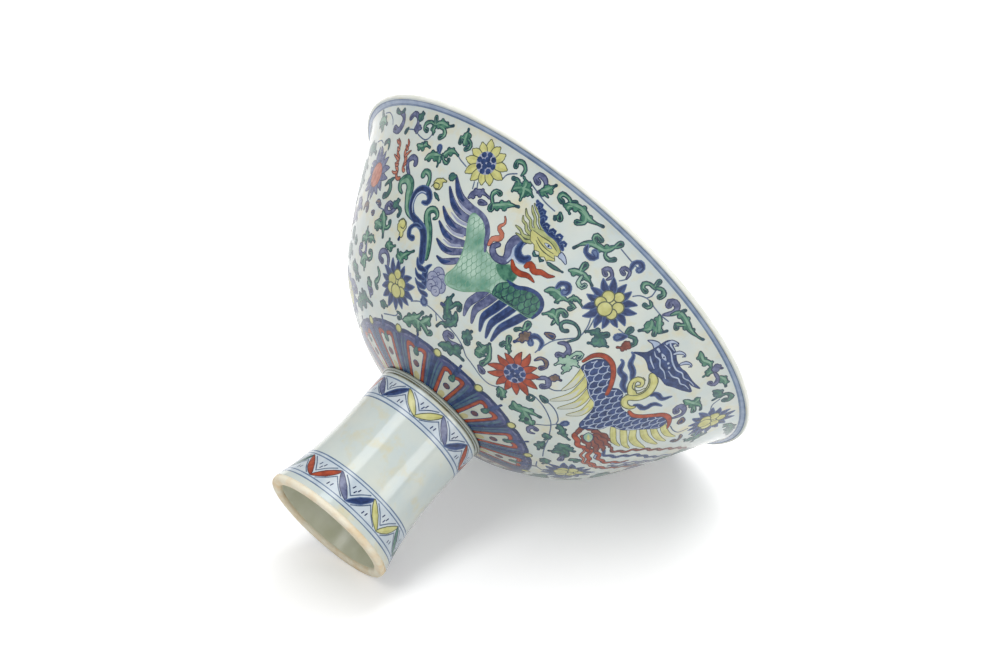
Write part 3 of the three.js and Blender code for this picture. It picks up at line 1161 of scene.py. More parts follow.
def paint_green_neck(sheet):
    """The curved neck, and the flames beside it."""
    sheet.leaf(
        "salmon",
        stroke(
            "-19.6,64.8 -19,63.2 -19.1,61.4 -18,60 -17.9,58.2 -19,57 -19.7,55.4",
            0.4, 0.8, 1.2, 1.4, 1.9, 1.5, 1.0,
        ),
        edge=0.2,
        swing=(0.4, 5.0),
    )
    sheet.leaf(
        "wash",
        stroke(
            "-16.9,56.9 -17.9,55.6 -17,53.9 -15,53.3 -13.1,54.2 -13,56.2 -13.9,58.4 -13.6,60.8 -12.2,62.4",
            1.3, 1.9, 1.9, 2.0, 2.4, 2.6, 2.8, 3.2, 3.2,
        ),
    )
    sheet.brush("pale", places("-12.3,54.6 -12,56.8 -12.7,58.8 -12.3,60.8"), [0.5, 0.9, 0.9, 0.4])
    sheet.brush("pale", places("-11.6,56.8 -10,56.4 -8,57.4 -6.9,58.4"), [0.6, 1.2, 1.2, 0.4])
    sheet.leaf(
        "deep", stroke("-11.8,61.8 -11.7,59.4 -10.4,57.9 -8.8,58 -8.1,59.2", 1.2, 1.7, 2.2, 2.3, 1.7)
    )
    sheet.leaf(
        "red",
        stroke("-7.2,56.9 -6.6,58.2 -4.6,57.3 -3,58.4 -1,58.9 .4,60.1", 1.4, 2.2, 1.9, 1.6, 1.3, 0.3),
        edge=0.2,
    )
    sheet.leaf(
        "red", stroke("-11.2,55.6 -9.6,54.1 -7.4,54 -5.2,55 -2.8,54.8", 0.7, 1.8, 1.8, 1.4, 0.4), edge=0.2
    )


def paint_green_head(sheet):
    """The mane, the face with its beak and eye, and the knobbed crest."""
    for text in (
        "-9.4,68.4 -11.4,69.8 -12.3,71.2 -13.9,72.1 -15,73.1",
        "-10,67.2 -12,68.3 -12.8,69.8 -14.2,70.9 -15.2,72.2",
        "-10.6,66.2 -12.6,67 -13.4,68.4 -15,69 -16.1,70.4",
        "-11,65.2 -12.8,65.4 -13.9,66.7 -15,67 -15.7,68.2",
        "-11,64.2 -12.8,63.6 -14.2,64.4 -15.9,64.6",
        "-10.2,63.4 -11.8,62.5 -13.2,62.9 -14.7,62.8",
    ):
        sheet.leaf("yellow_green", stroke(text, 1.2, 1.0, 0.8, 0.8, 0.3), edge=0.25)
    face = places(
        "-11.8,66.4 -9.8,68.2 -6.8,68.4 -4.2,67.9 -2.3,66.5 -2,65.4 -3.2,64.7 -2.2,63.6 -3.6,62.6"
        " -3.9,61.9 -5,62.5 -6,61.6 -6.9,62.7 -8.2,62.2 -9,63.4 -10.4,63.6 -11.2,64.8"
    )
    sheet.patch("yellow", face, edge=0.25, line="olive")
    sheet.brush(
        "yellow_green",
        places("-11.6,66.8 -9.4,67.6 -6.6,67.7 -4.4,67.2 -2.8,66.2"),
        [0.8, 1.3, 1.2, 0.9, 0.5],
    )
    for path in (
        "-11.4,66.6 -9,66.7 -6,67 -3.4,66.2",
        "-9.6,65.8 -7.8,65 -5.6,64.7 -3.6,65",
        "-9.4,64.8 -7,63.7 -4.6,63.6 -2.6,64",
    ):
        sheet.brush("olive", places(path), [0.2, 0.4, 0.2])
    sheet.patch("pale", places("-7.2,65.7 -6.1,66.3 -4.7,65.9 -5.9,65.2"), edge=0.2, line="olive")
    sheet.patch("line", circle(sheet, (-5.9, 65.8), 0.36, 6), edge=0)
    sheet.patch("pale", places("-2.4,66.9 -.8,66.6 .5,65.3 .4,64.9 -1.2,65.2 -2.3,65.2"), edge=0.3)
    sheet.leaf(
        "leaf",
        strokes(
            "l.5 -8,61.8 -7.3,61 -6.4,61.6; l.5 -5.9,61.4 -5.1,60.9 -4.6,61.5;"
            " l.6 -3.4,61.8 -1.4,62 1.2,62.7"
        ),
    )
    sheet.leaf(
        "deep",
        stroke(
            "-14.8,74.2 -13.6,73.4 -12.6,72.4 -11.4,71.2 -10.4,69.8 -8.8,69.1 -6.8,69 -4.6,68.9 -2.6,67.7",
            0.9, 1.5, 1.0, 1.6, 1.1, 1.6, 1.2, 1.6, 0.9,
        ),
        edge=0.2,
    )
    for turn, along in places("-13.5,74 -12,73 -10.9,71.9 -9.2,70.4 -7.1,70.3 -5,70.4 -3.1,69.5"):
        knob = [(-0.9, -0.9), (-0.5, 0.1), (0.3, 0.1), (0.4, -0.5)]
        curled = [(turn + x, along + y) for x, y in knob]
        sheet.leaf("deep", [(curled, (0.7, 0.9, 0.9, 0.7))], edge=0.15)


def paint_green_phoenix(sheet):
    """The phoenix with the green body, which flies to the right."""
    for paint_part in (
        paint_green_tail,
        paint_green_left_wing,
        paint_green_right_wing,
        paint_green_body,
        paint_green_neck,
        paint_green_head,
    ):
        paint_part(sheet)


def paint_blue_tail(sheet):
    """The long streamers of the tail, and the short ones over their root."""
    for pigment, path, widths in (
        ("rust", "78,36.5 82,43 86,48.5 91,53", [1.4, 1.8, 1.6, 0.6]),
        ("salmon", "60,33.4 66,32.2 72,33 78,37.4 83,44 88,50", [1.0, 1.2, 1.2, 1.1, 1.0, 0.4]),
        ("lavender", "64,36.4 70,37 76,41.4 80,46.8 84,51.8 88,57", [1.0, 1.2, 1.2, 1.1, 1.0, 0.4]),
        ("wash", "78,40 82,46 86,52 90,58", [0.8, 1.4, 1.4, 0.6]),
        ("red", "61,35.4 66,34.2 70.5,34 75,35.6 79,38.6 83,43.4", [2.0, 2.0, 1.9, 1.8, 1.6, 0.8]),
        ("red", "59,37.6 64,37.2 70,37.4 73.4,39 76,42.6 78,46.4", [2.2, 1.9, 1.8, 1.7, 1.5, 0.7]),
        (
            "deep",
            "63,38.7 67.6,39.4 71,42.8 73.4,47 76,50.2 79.5,52.6 83.5,56.4 87,62.4",
            [1.0, 1.8, 1.9, 1.8, 1.7, 1.8, 1.6, 0.6],
        ),
        (
            "rust",
            "62.4,41 66.4,42.2 68.8,45.4 70.4,49 73,52.6 76,56 79,60 83,64.6 87.4,67.8",
            [0.9, 1.6, 1.7, 1.6, 1.7, 1.7, 1.7, 1.5, 0.5],
        ),
        ("red", "47.4,35.6 49.6,33.5 53.6,32.4 58,33 62,35", [1.3, 2.4, 2.5, 2.3, 1.6]),
    ):
        slim = [width * STREAMER_WIDTH for width in widths]
        sheet.leaf(pigment, stroke(path, *slim), edge=0.3, swing=(0.45, 5.0))
    for text in (
        "49.4,38.4 47.6,37.4 47.4,35.4 49.6,33.6",
        "51,38.6 55,40.6 60,42.4",
        "53,38.4 57.4,40 62.6,41.2",
        "54,37.4 59,38.8 64,39.2",
        "55,36.2 59.6,37 63.6,37",
        "52,34.8 56,35.2 61,35.4",
    ):
        sheet.leaf("rust", stroke(text, 1.5, 2.1, 1.6, 0.4), edge=0.4, swing=(0.3, 3.5))
    sheet.patch("pale_green", places("50.8,37 53.2,37.8 55.6,36.8 56,35.6 53.8,34.8 51.6,35.2"), edge=0.3)
    sheet.brush("yellow", places("52,36.6 53.6,36.2 55,36"), [0.4, 0.9, 0.4])


def paint_blue_wings(sheet):
    """The long yellow feathers of both wings."""
    for text in (
        "f1.1 26,48 27.6,44.6 28.7,41 28.7,37.8",
        "f1.25 29.8,46.4 31.6,42.2 32.2,38 30.3,32.8",
        "f1.25 33.8,44.6 35.6,41.2 36.2,38 34.8,33.2",
        "f1.15 37.6,44 39.6,41 40.4,38 39,34.2",
    ):
        feather(sheet, text, "yellow", "cream")
    for text in (
        "f1 60.6,58.6 64.6,58.7 68,59.7 70.6,61.6",
        "f1 60,55.6 64,55.6 67.8,56.5 71.2,58.4",
        "f1.1 58.6,52.6 63,52.3 67,53.4 71.2,55.6",
        "f1.15 57.4,49.8 61.8,48.6 66,49.3 70.8,51.6",
        "f1.05 55.4,46.9 60,46.1 64,45.8 67.4,46.8",
        "f.9 52.6,44.4 56,43.5 60,43 63.8,44.1",
    ):
        feather(sheet, text, "yellow")


def paint_blue_body(sheet):
    """The scaled body, and the red bands along the wings."""
    body = places(
        "25.3,47 25.6,51 28,53.8 31,53.7 34,52 36.6,50 38.6,51.6 41,52 43.4,50 46,49.4 49,50.2 51.4,51.6"
        " 53.2,54 55,57.5 57.5,60 60.6,59.8 61.8,57 60.4,54.4 59,52 57.5,49.5 55.5,46.6 53,45 51.2,43.6"
        " 51,41 49.5,38.5 47.5,35.8 45,36 43.3,38.5 41,42 39,43.4 36,43.4 33,44.2 30,45.8 27.4,46.4"
    )
    sheet.patch("deep", body)
    scales(sheet, "pale", body, 2.5, 0.26)
    sheet.leaf(
        "red",
        stroke(
            "24.1,48.4 24.5,51.8 26.4,54.2 29.6,54.8 33,53.2 36,50.6 38.2,48",
            0.8, 1.4, 1.6, 1.6, 1.5, 1.4, 1.2,
        ),
        edge=0.25,
    )
    sheet.leaf(
        "red",
        stroke(
            "48.6,50.9 51,51.4 53,53.6 54.6,56.6 56.4,59.7 59,61 62,60.5 63.8,59.7",
            0.9, 1.5, 1.5, 1.5, 1.7, 1.8, 1.4, 0.5,
        ),
        edge=0.25,
    )


def paint_blue_flames(sheet):
    """The flame ribbons round the neck."""
    for path, widths in (
        ("30.4,61.5 32.4,60 34.4,59 36,57.6 38.4,57.2", [0.4, 1.3, 1.7, 1.7, 1.0]),
        ("30.5,57.6 33,56 36,54.7 38.6,53.8 40.4,52.8", [0.4, 1.4, 1.8, 1.8, 1.2]),
        ("46.4,59.4 48,60.6 49.6,62 51,63.9", [1.5, 1.7, 1.3, 0.4]),
        ("47.2,53.2 49.6,54.8 49.8,57.2 50.9,58.6 52,60.6", [0.8, 1.6, 1.7, 1.4, 0.4]),
    ):
        sheet.leaf("deep", stroke(path, *widths), swing=(0.55, 5.5))


def paint_blue_neck(sheet):
    """The yellow neck and its curl."""
    throat = "40.2,62.4 42.6,61.6 44.8,58.8 44.9,55.8 43.4,53.2 43.4,51.6 45.2,50.8 47.2,51.6 47.8,52.8"
    curl = "43,54.4 41,54.8 39,56.4 38.9,58.2 40.4,59 41.6,58 41,56.9"
    throat_widths = (2.0, 3.0, 3.0, 3.0, 2.9, 2.4, 2.2, 1.6, 1.0)
    sheet.leaf("yellow", stroke(throat, *throat_widths) + stroke(curl, 2.6, 2.4, 2.2, 1.9, 1.7, 1.3, 0.7))
    for path in (
        "40.8,61.4 43,60 44.2,57.4 43.6,54.6 41.6,52.6",
        "43,58.6 42.6,56.2 40.6,55.4 39.2,56.8",
        "40.6,60 39.2,59.8",
    ):
        sheet.brush("olive", places(path), [0.25, 0.45, 0.25])


def paint_blue_head(sheet):
    """The crested head with its beak, eye and feathers."""
    sheet.patch("pale", places("30,67.4 31.2,69 32.8,69.8 33.6,68.6 33.4,67.4 31.6,67.8"), edge=0.35)
    head = places(
        "33,66.3 33.1,69.5 33.2,72 34.3,73.6 35.8,74.4 35.2,72.7 37.4,72.2 40,71 43,70.9 45,71.6 49,72"
        " 52.8,73.1 50.6,71.3 48.8,70.6 52.4,70.3 50.3,68 47.5,66 45.5,64.4 42.5,64 40,63.2 38,62.5"
        " 35.8,63.2 33.6,63.3 30.6,61.9 32.6,64.6"
    )
    sheet.patch("deep", head, edge=0.25)
    for turn in (35.4, 39.4, 43.3):
        curl = [(turn - 1.6, 71.4), (turn - 1.2, 72.9), (turn, 73.9), (turn + 0.9, 73.8), (turn + 0.5, 73)]
        sheet.trail("line", sheet.run(curl), [1.1, 1.5, 1.1, 0.7, 0.4])
        sheet.trail("pale", sheet.run(curl), [0.5, 0.9, 0.5, 0.1, 0.05])
    for path in (
        "33.8,70.6 36.6,70.9 39.6,69.7 42.6,69.4 44.6,70.4 46.4,70.1 48.4,71.2 50.6,71.7",
        "41.6,67.2 44,67.4 45.6,68.6 47.6,68.4 49,69.4 51,69.9",
        "33.9,67 35.4,66.5 37,66.9 39,65.8 41,66 43.6,65.2",
        "34.4,65.2 36,64.5 38.6,64",
        "34,72.6 35,72 37,72",
    ):
        sheet.brush("pale", places(path), [0.2, 0.5, 0.4, 0.2])
    for turn, along in ((33.9, 68.2), (39.4, 68.4), (40.8, 67.9), (33.9, 71.4)):
        sheet.patch("pale", circle(sheet, (turn, along), 0.42, 6), edge=0)
    sheet.patch("pale", places("35.6,68.4 36.8,68.9 38.4,68.3 37,67.8"), edge=0)
    sheet.patch("line", circle(sheet, (37.0, 68.35), 0.35, 6), edge=0)
    sheet.brush("pale", places("33.8,68.4 34.8,68.2"), [0.6])


def paint_blue_phoenix(sheet):
    """The phoenix with the scaled blue body, which flies to the left."""
    for paint_part in (
        paint_blue_tail,
        paint_blue_wings,
        paint_blue_body,
        paint_blue_flames,
        paint_blue_neck,
        paint_blue_head,
    ):
        paint_part(sheet)


def paint_rim(sheet):
    """Two cobalt lines round the lip, over a pale wash."""
    sheet.band("rim_wash", *RIM_BAND)
    for low, high, wobble in RIM_LINES:
        sheet.band("rim_line", low, high, wobble)


def paint_lappets(sheet):
    """One lotus lappet, which repeats round the low end of the bowl, and the yellow pearl beside its
    tip."""
    half = sheet.half
    sheet.mark("lappet_wash", [(-half, -0.4), (half, -0.4), (half, 15), (0, 16.3), (-half, 15)])
    for turn, width, pigment in (
        (-12.4, 0.9, "teal"),
        (-11.0, 0.6, "deep"),
        (-9.8, 0.9, "teal"),
        (12.2, 1.2, "deep"),
        (10.4, 0.9, "teal"),
        (9.4, 0.5, "vine"),
    ):
        path = [(turn * 0.98, -0.4), (turn, 5), (turn, 10), (turn * 0.94, 13.4)]
        sheet.brush(pigment, path, [width * 0.6, width, width, width * 0.5])
    sheet.brush(
        "line",
        places("-13.8,14.4 -12,15.1 -8,15.8 0,15.9 8,15.8 12,15.1 13.8,14.4"),
        [1.5, 1.4, 1.0, 1.2, 1.0, 1.4, 1.5],
    )
    sheet.leaf("line", strokes("b.5 0,16.2 0,17.5"), edge=0.1)
    sheet.brush(
        "line", places("-13.84,14.6 -13.7,12 -13.84,9 -13.8,5 -13.8,-.4"), [1.5, 1.0, 0.8, 0.5, 0.4]
    )
    sheet.brush("deep", places("0,16 0,14 -.1,12.6"), [1.4, 1.8, 1.2])
    sheet.brush("wash", places("-9.4,14.6 -5,15 -2,14.6"), [0.4, 0.8, 0.3])
    sheet.brush("wash", places("9.4,14.6 5,15 2,14.6"), [0.4, 0.8, 0.3])
    frame = places(
        "-8.1,-.4 -8,5 -8,10 -7.6,12.5 -5.8,13.3 -2.4,13 -2.4,13 0,12 2.4,13 2.4,13 5.8,13.3 7.6,12.5"
        " 8,10 8,5 8.1,-.4 8.1,-.4 -8.1,-.4"
    )
    sheet.patch("red", frame, edge=0.35, line="crimson")
    field = places(
        "-4.2,-.4 -5,4 -5.5,8 -5.8,11.2 -5.8,11.2 -4.4,11.8 -2.2,11.4 0,10.3 2.2,11.4 4.4,11.8 5.8,11.2"
        " 5.8,11.2 5.5,8 5,4 4.2,-.4 4.2,-.4 -4.2,-.4"
    )
    sheet.patch("cream", field, edge=0.3)
    sheet.patch("yellow_stain", places("-2.8,-.4 -3,1.6 0,2.8 3,1.6 2.8,-.4 2.8,-.4 -2.8,-.4"), edge=0)
    sheet.leaf("leaf", strokes("b1.2 0,12.2 0,10.2"), edge=0.35)
    sheet.patch("seed", circle(sheet, (0.0, 5.9), 1.3, 10, 0.9), edge=0.3)
    sheet.patch("yellow", circle(sheet, (-half, 15.6), 1.35, 10), edge=0.45, line="olive")


# Zigzags of the stem, in millimetres up and degrees across: how far they stay in from the band's edges,
# their leaves and the lines beside them, and the dashes, which are placed at shares of the rise
ZIGZAG_INSETS = (0.4, 0.5)
ZIGZAG_LEAF = [0.4, 1.7, 2.3, 1.7, 0.4]
LEAF_SAG = 0.46
LINE_GAP = 2.2
LINE_REACH = 0.72
LINE_BULGE = 0.35
HIGH_DASHES = ((-2.6, 0.78), (0.6, 0.62), (2.8, 0.8))
HIGH_DASH = (0.8, 0.5, 0.4)
LOW_DASHES = ((-1.8, 0.12), (1.6, 0.16))
LOW_DASH = (0.6, 0.3, 0.6)
DASH_WIDTHS = [0.4, 0.75, 0.4]


def add_slope(sheet, middle, peak, bottom, top, pigment):
    """A leaf from a low point up to a peak, between two thin lines."""
    reach, rise = peak - middle, top - bottom
    lines = (
        ((0, LINE_GAP), (LINE_REACH, rise), LINE_BULGE),
        ((1 - LINE_REACH, 0), (1, rise - LINE_GAP), -LINE_BULGE),
    )
    for (x0, y0), (x1, y1), bulge in lines:
        start, end = (middle + reach * x0, bottom + y0), (middle + reach * x1, bottom + y1)
        halfway = ((start[0] + end[0]) / 2, (start[1] + end[1]) / 2 + bulge)
        sheet.brush("vine", [start, halfway, end], [0.4])
    leaf = [(middle, bottom), (middle + reach * 0.5, bottom + rise * LEAF_SAG), (peak, top)]
    sheet.leaf(pigment, [(leaf, ZIGZAG_LEAF)], edge=0.3)


def add_dashes(sheet, turn, bottom, rise, dashes, shape):
    """Short cobalt dashes in a corner of the zigzag."""
    across, down, up = shape
    for x, share in dashes:
        along = bottom + rise * share
        sheet.brush("line", [(turn + x, along - down), (turn + x + across, along + up)], DASH_WIDTHS)


def paint_stem_band(sheet, low, high, vees):
    """A zigzag of paired leaves with lines beside them, and dashes in the corners between."""
    sheet.band("band_wash", low - ZIGZAG_EDGE, high + ZIGZAG_EDGE)
    bottom, top = low + ZIGZAG_INSETS[0], high - ZIGZAG_INSETS[1]
    turns = [turn for turn, left, right in vees]
    for i, (middle, left, right) in enumerate(vees):
        before = (turns[i - 1] - (360 if i == 0 else 0) + middle) / 2
        after = (turns[(i + 1) % len(turns)] + (360 if i == len(turns) - 1 else 0) + middle) / 2
        add_slope(sheet, middle, before, bottom, top, left)
        add_slope(sheet, middle, after, bottom, top, right)
        add_dashes(sheet, middle, bottom, top - bottom, HIGH_DASHES, HIGH_DASH)
        add_dashes(sheet, after, bottom, top - bottom, LOW_DASHES, LOW_DASH)


# Zigzags of the stem: the degrees of each low point, and the paints of the leaf before it and after it
STEM_LOW_VEES = [
    (-163, "yellow", "yellow"),
    (-122, "wash", "deep"),
    (-82, "leaf", "leaf"),
    (-43, "red", "red"),
    (-3.5, "wash", "deep"),
    (33, "yellow", "yellow"),
    (72, "leaf", "leaf"),
    (114, "red", "red"),
    (156, "wash", "deep"),
]
STEM_HIGH_VEES = [
    (-172, "leaf", "leaf"),
    (-132, "yellow", "yellow"),
    (-91, "red", "red"),
    (-50, "wash", "deep"),
    (-9, "yellow", "yellow"),
    (32, "wash", "deep"),
    (73, "red", "red"),
    (113, "yellow", "yellow"),
    (153, "wash", "deep"),
]


# Bands of the stem, in the order in which they are laid: a paint or a zigzag, and its edges in millimetres
STEM_LAYERS = [
    ("band_wash", 2.3, 3.7),
    ("rim_line", 2.1, 2.5),
    (STEM_LOW_VEES, 3.9, 11.5),
    ("rim_line", 3.5, 3.9),
    ("rim_line", 11.5, 11.9),
    ("band_wash", 11.9, 12.6),
    ("rim_line", 12.6, 13.0),
    ("band_wash", 36.8, 38.3),
    ("rim_line", 36.6, 37.0),
    (STEM_HIGH_VEES, 38.3, 45.0),
    ("rim_line", 38.0, 38.4),
    ("rim_line", 44.9, 45.3),
]


def paint_stem(sheet):
    """The two zigzags of the stem, with their cobalt lines and the washes beside them."""
    for layer, low, high in STEM_LAYERS:
        if isinstance(layer, list):
            paint_stem_band(sheet, low, high, layer)
        else:
            sheet.band(layer, low, high, LINE_WOBBLE if layer == "rim_line" else 0.0)


# Paints: the colour where the brush left little and where it left much, and the size of the clouds between
# them in millimetres
PAINTS = {
    "line": ("cobalt_line_under_glaze", "#22386A", "#0E244E", 1.5),
    "vine": ("thin_cobalt_line_under_glaze", "#62748E", "#405472", 1.5),
    "rim_line": ("cobalt_ring_under_glaze", "#6C829E", "#506888", 4.0),
    "rim_wash": ("faint_cobalt_wash_under_glaze", "#94A6C0", "#7E92B2", 4.0),
    "band_wash": ("trace_of_cobalt_under_glaze", "#CAD3D8", "#BAC7D2", 4.0),
    "deep": ("heaped_cobalt_under_glaze", "#30487C", "#122A54", 1.6),
    "blue_rim": ("cobalt_edge_under_glaze", "#5C7298", "#3C5480", 1.5),
    "wash": ("cobalt_wash_under_glaze", "#6E7698", "#454C72", 1.6),
    "wash_rim": ("cobalt_wash_edge_under_glaze", "#3E4668", "#2A3254", 1.5),
    "lavender": ("thin_cobalt_wash_under_glaze", "#A4AABE", "#868EAC", 2.5),
    "pale": ("palest_cobalt_wash_under_glaze", "#B4C0D2", "#98A9C4", 2.0),
    "green": ("copper_green_enamel", "#4E846C", "#265A4E", 1.6),
    "mid_green": ("brushed_copper_green_enamel", "#84AA92", "#618C76", 2.5),
    "green_rim": ("copper_green_over_cobalt_line", "#264A58", "#14303E", 1.5),
    "leaf": ("dark_copper_green_enamel", "#44706C", "#264E52", 1.6),
    "body_green": ("clouded_copper_green_enamel", "#AECABA", "#5E927E", 7.0),
    "pale_green": ("thin_copper_green_enamel", "#A2BEAC", "#7FA690", 3.0),
    "yellow": ("antimony_yellow_enamel", "#CAC98A", "#B2B06A", 2.5),
    "pale_yellow": ("thin_antimony_yellow_enamel", "#D0CF92", "#C2C074", 2.5),
    "yellow_green": ("yellow_enamel_over_cobalt", "#B6BC86", "#949E68", 2.0),
    "olive": ("cobalt_line_under_yellow_enamel", "#5E6650", "#3E4838", 2.0),
    "red": ("iron_red_enamel", "#AE4A2A", "#86321C", 2.0),
    "crimson": ("dark_iron_red_enamel", "#5C3438", "#42262C", 2.5),
    "rust": ("iron_red_enamel_over_cobalt", "#8C4A3C", "#6A3228", 2.0),
    "salmon": ("thin_iron_red_enamel", "#C6806A", "#A85E46", 2.0),
    "brown": ("iron_brown_enamel", "#7C685C", "#56463E", 1.5),
    "teal": ("green_over_cobalt", "#4A6A7C", "#36546C", 2.5),
    "lappet_wash": ("violet_cobalt_wash_under_glaze", "#4A5280", "#353E6C", 3.0),
    "seed": ("red_over_cobalt", "#6E4A50", "#553A42", 2.0),
    "cream": ("bare_glaze_in_the_lappets", "#C6CABE", "#B8BEB2", 3.0),
    # lip: near white, a painted highlight on the brightly lit lip
    "lip": ("painted_highlight_on_the_lip", "#EEEFE8", "#E4E6DC", 6.0),
    # pooled: olive glaze inside the hollow foot, made paler as painted light in the hollow
    "pooled": ("pooled_glaze_with_painted_light_in_the_foot", "#D2D4C0", "#C2C4AA", 9.0),
    # slip: dark olive-brown, painted shade of the groove at the joint
    "slip": ("painted_groove_shade_over_the_slip", "#6E6C54", "#4E4E3E", 4.0),
    "yellow_stain": ("thin_yellow_in_the_lappets", "#C2BC8C", "#B4AC7C", 3.0),
}


def add_ramp(tree, value, tones):
    """The colour at a value, on a ramp of places and colours."""
    ramp = add_node(tree, "ShaderNodeValToRGB", Fac=value)
    elements = ramp.color_ramp.elements
    for position, code in tones[1:-1]:
        elements.new(position)
    for element, (position, code) in zip(elements, tones):
        element.position = position
        element.color = linear(code)
    return ramp.outputs["Color"]


def clouds(tree, scale, tones, **look):
    """Colours in clouds that lie fixed in the piece, with a scale per metre."""
    place = add_node(tree, "ShaderNodeTexCoord")
    noise = add_node(tree, "ShaderNodeTexNoise", Vector=place.outputs["Object"], Scale=scale, **look)
    return add_ramp(tree, noise.outputs["Fac"], tones)


def add_surface(tree, output, colour, roughness):
    """A glassy or matt surface of a colour."""
    shader = add_node(
        tree, "ShaderNodeBsdfPrincipled", Base_Color=colour, Roughness=roughness, IOR=GLASSY_IOR
    )
    tree.links.new(shader.outputs[0], output.inputs["Surface"])


def painted(name, thin, thick, cloud):
    """Brushed colour under or over the clear glaze: wet gloss, and clouds where the brush left more or
    less."""
    material, tree, output = new_material(name)
    colour = clouds(tree, 1 / (cloud * MM), [(0.35, thick), (0.65, thin)], Detail=3.0)
    add_surface(tree, output, colour, PAINT_ROUGHNESS)
    return material


def glazed_porcelain():
    """Clear feldspar glaze over thrown porcelain: a greenish white with a wet gloss and faint cream
    stains."""
    material, tree, output = new_material("glazed_porcelain")
    white = clouds(tree, *GLAZE_CLOUDS, Detail=3.0)
    share = clouds(tree, *STAIN_CLOUDS, Detail=5.0, Roughness=0.6)
    stain = add_node(tree, "ShaderNodeMix", {"data_type": "RGBA"}, i0=share, i6=white, i7=linear(STAIN))
    add_surface(tree, output, stain.outputs[2], GLAZE_ROUGHNESS)
    return material


# Glaze and clay: how many clouds come to a metre, and the places and colours of their tones. The stain's
# tones are how much of it there is, from none in black to all in white.
GLAZE_CLOUDS = (90.0, [(0.25, "#C1CECF"), (0.75, "#D5D9CE")])
STAIN_CLOUDS = (150.0, [(0.52, "#000000"), (0.86, "#FFFFFF")])
STAIN = "#D4C898"
CLAY_CLOUDS = (120.0, [(0.42, "#EEE7D2"), (0.72, "#E2C698")])

# Glaze over the joint's bead: shares of its height, from below, and the colours there. The dark bottom is
# painted shade of the groove under the bead, and the top is darker towards the bowl.
SEAM_TONES_WITH_GROOVE_SHADE = [
    (0.0, "#62665A"),
    (0.15, "#62665A"),
    (0.3, "#A4ACA4"),
    (0.55, "#A4ACA4"),
    (0.8, "#6C7266"),
    (1.0, "#5C6258"),
]


def seam_glaze_with_groove_shade():
    """Glaze over the bead at the joint: dark at its foot as painted shade of the groove against the
    stem, pale in the middle, and darker again towards the bowl."""
    material, tree, output = new_material("glaze_over_the_joint_with_painted_groove_shade")
    place = add_node(tree, "ShaderNodeTexCoord")
    height = add_node(tree, "ShaderNodeSeparateXYZ", Vector=place.outputs["Generated"])
    add_surface(tree, output, add_ramp(tree, height.outputs["Z"], SEAM_TONES_WITH_GROOVE_SHADE), SEAM_ROUGHNESS)
    return material


def bare_biscuit():
    """Unglazed fired clay: matt buff, burnt orange in places."""
    material, tree, output = new_material("bare_fired_clay")
    colour = clouds(tree, *CLAY_CLOUDS, Detail=5.0, Roughness=0.6)
    add_surface(tree, output, colour, CLAY_ROUGHNESS)
    return material


def larger(tree, first, second):
    """The larger of two values."""
    return add_node(tree, "ShaderNodeMath", {"operation": "MAXIMUM"}, i0=first, i1=second).outputs[0]


def seen_share(tree):
    """1 for a ray from the eye, straight or by way of a shiny or clear surface, and 0 for other light."""
    path = add_node(tree, "ShaderNodeLightPath")
    shiny = larger(tree, path.outputs["Is Camera Ray"], path.outputs["Is Glossy Ray"])
    return larger(tree, shiny, path.outputs["Is Transmission Ray"])


def table_white():
    """Matt white paper on the table: it keeps the bowl's shadow, which the camera sees a little lifted,
    and it lets every view from below it through."""
    material, tree, output = new_material("table_white")
    seen = seen_share(tree)
    white = add_node(
        tree, "ShaderNodeMix", {"data_type": "RGBA"}, i0=seen, i6=linear(TABLE_WHITE), i7=linear(TABLE_SEEN)
    )
    paper = add_node(tree, "ShaderNodeBsdfDiffuse", Color=white.outputs[2])
    haze = add_node(tree, "ShaderNodeMath", {"operation": "MULTIPLY"}, i0=seen, i1=TABLE_HAZE)
    glow = add_node(tree, "ShaderNodeEmission", Strength=haze.outputs[0])
    lit = add_node(tree, "ShaderNodeAddShader", i0=paper.outputs[0], i1=glow.outputs[0])
    clear = add_node(tree, "ShaderNodeBsdfTransparent")
    facing = add_node(tree, "ShaderNodeNewGeometry")
    mix = add_node(
        tree, "ShaderNodeMixShader", i0=facing.outputs["Backfacing"], i1=lit.outputs[0], i2=clear.outputs[0]
    )
    tree.links.new(mix.outputs[0], output.inputs["Surface"])
    return material


def table_down():
    """The direction from the lying bowl down into the table, in the bowl's own frame."""
    out, rise = LIP_TOUCH[0] - FOOT_TOUCH[0], LIP_TOUCH[1] - FOOT_TOUCH[1]
    length = math.hypot(out, rise)
    side = math.radians(TABLE_SIDE)
    return Vector((rise * math.cos(side), rise * math.sin(side), -out)) / length


def add_table():
    """A slanted square plane under the lying bowl."""
    up = -table_down()
    side = math.radians(TABLE_SIDE)
    touch = Vector((FOOT_TOUCH[0] * math.cos(side), FOOT_TOUCH[0] * math.sin(side), FOOT_TOUCH[1]))
    turn = up.to_track_quat("Z", "Y").to_matrix().to_4x4()
    half = TABLE_SIZE / 2
    corners = [(-half, -half, 0), (half, -half, 0), (half, half, 0), (-half, half, 0)]
    mesh = bpy.data.meshes.new("table")
    mesh.from_pydata(
        [(Matrix.Translation(touch) @ turn @ Vector(c)) * MM for c in corners], [], [(0, 1, 2, 3)]
    )
    table = bpy.data.objects.new("table", mesh)
    table.data.materials.append(table_white())
    bpy.context.scene.collection.objects.link(table)


def add_camera():
    """A long lens at the photograph's distance and angle."""
    data = bpy.data.cameras.new("camera")
    data.lens = CAMERA_LENS
    data.sensor_width = SENSOR_WIDTH
    data.clip_start = CLIP_START
    camera = bpy.data.objects.new("camera", data)
    aim = Vector(CAMERA_AIM) - Vector(CAMERA_PLACE)
    turn = aim.to_track_quat("-Z", "Y").to_matrix().to_4x4()
    roll = Matrix.Rotation(math.radians(CAMERA_ROLL), 4, "Z")
    camera.matrix_world = Matrix.Translation(Vector(CAMERA_PLACE) * MM) @ turn @ roll
    bpy.context.scene.collection.objects.link(camera)
    bpy.context.scene.camera = camera


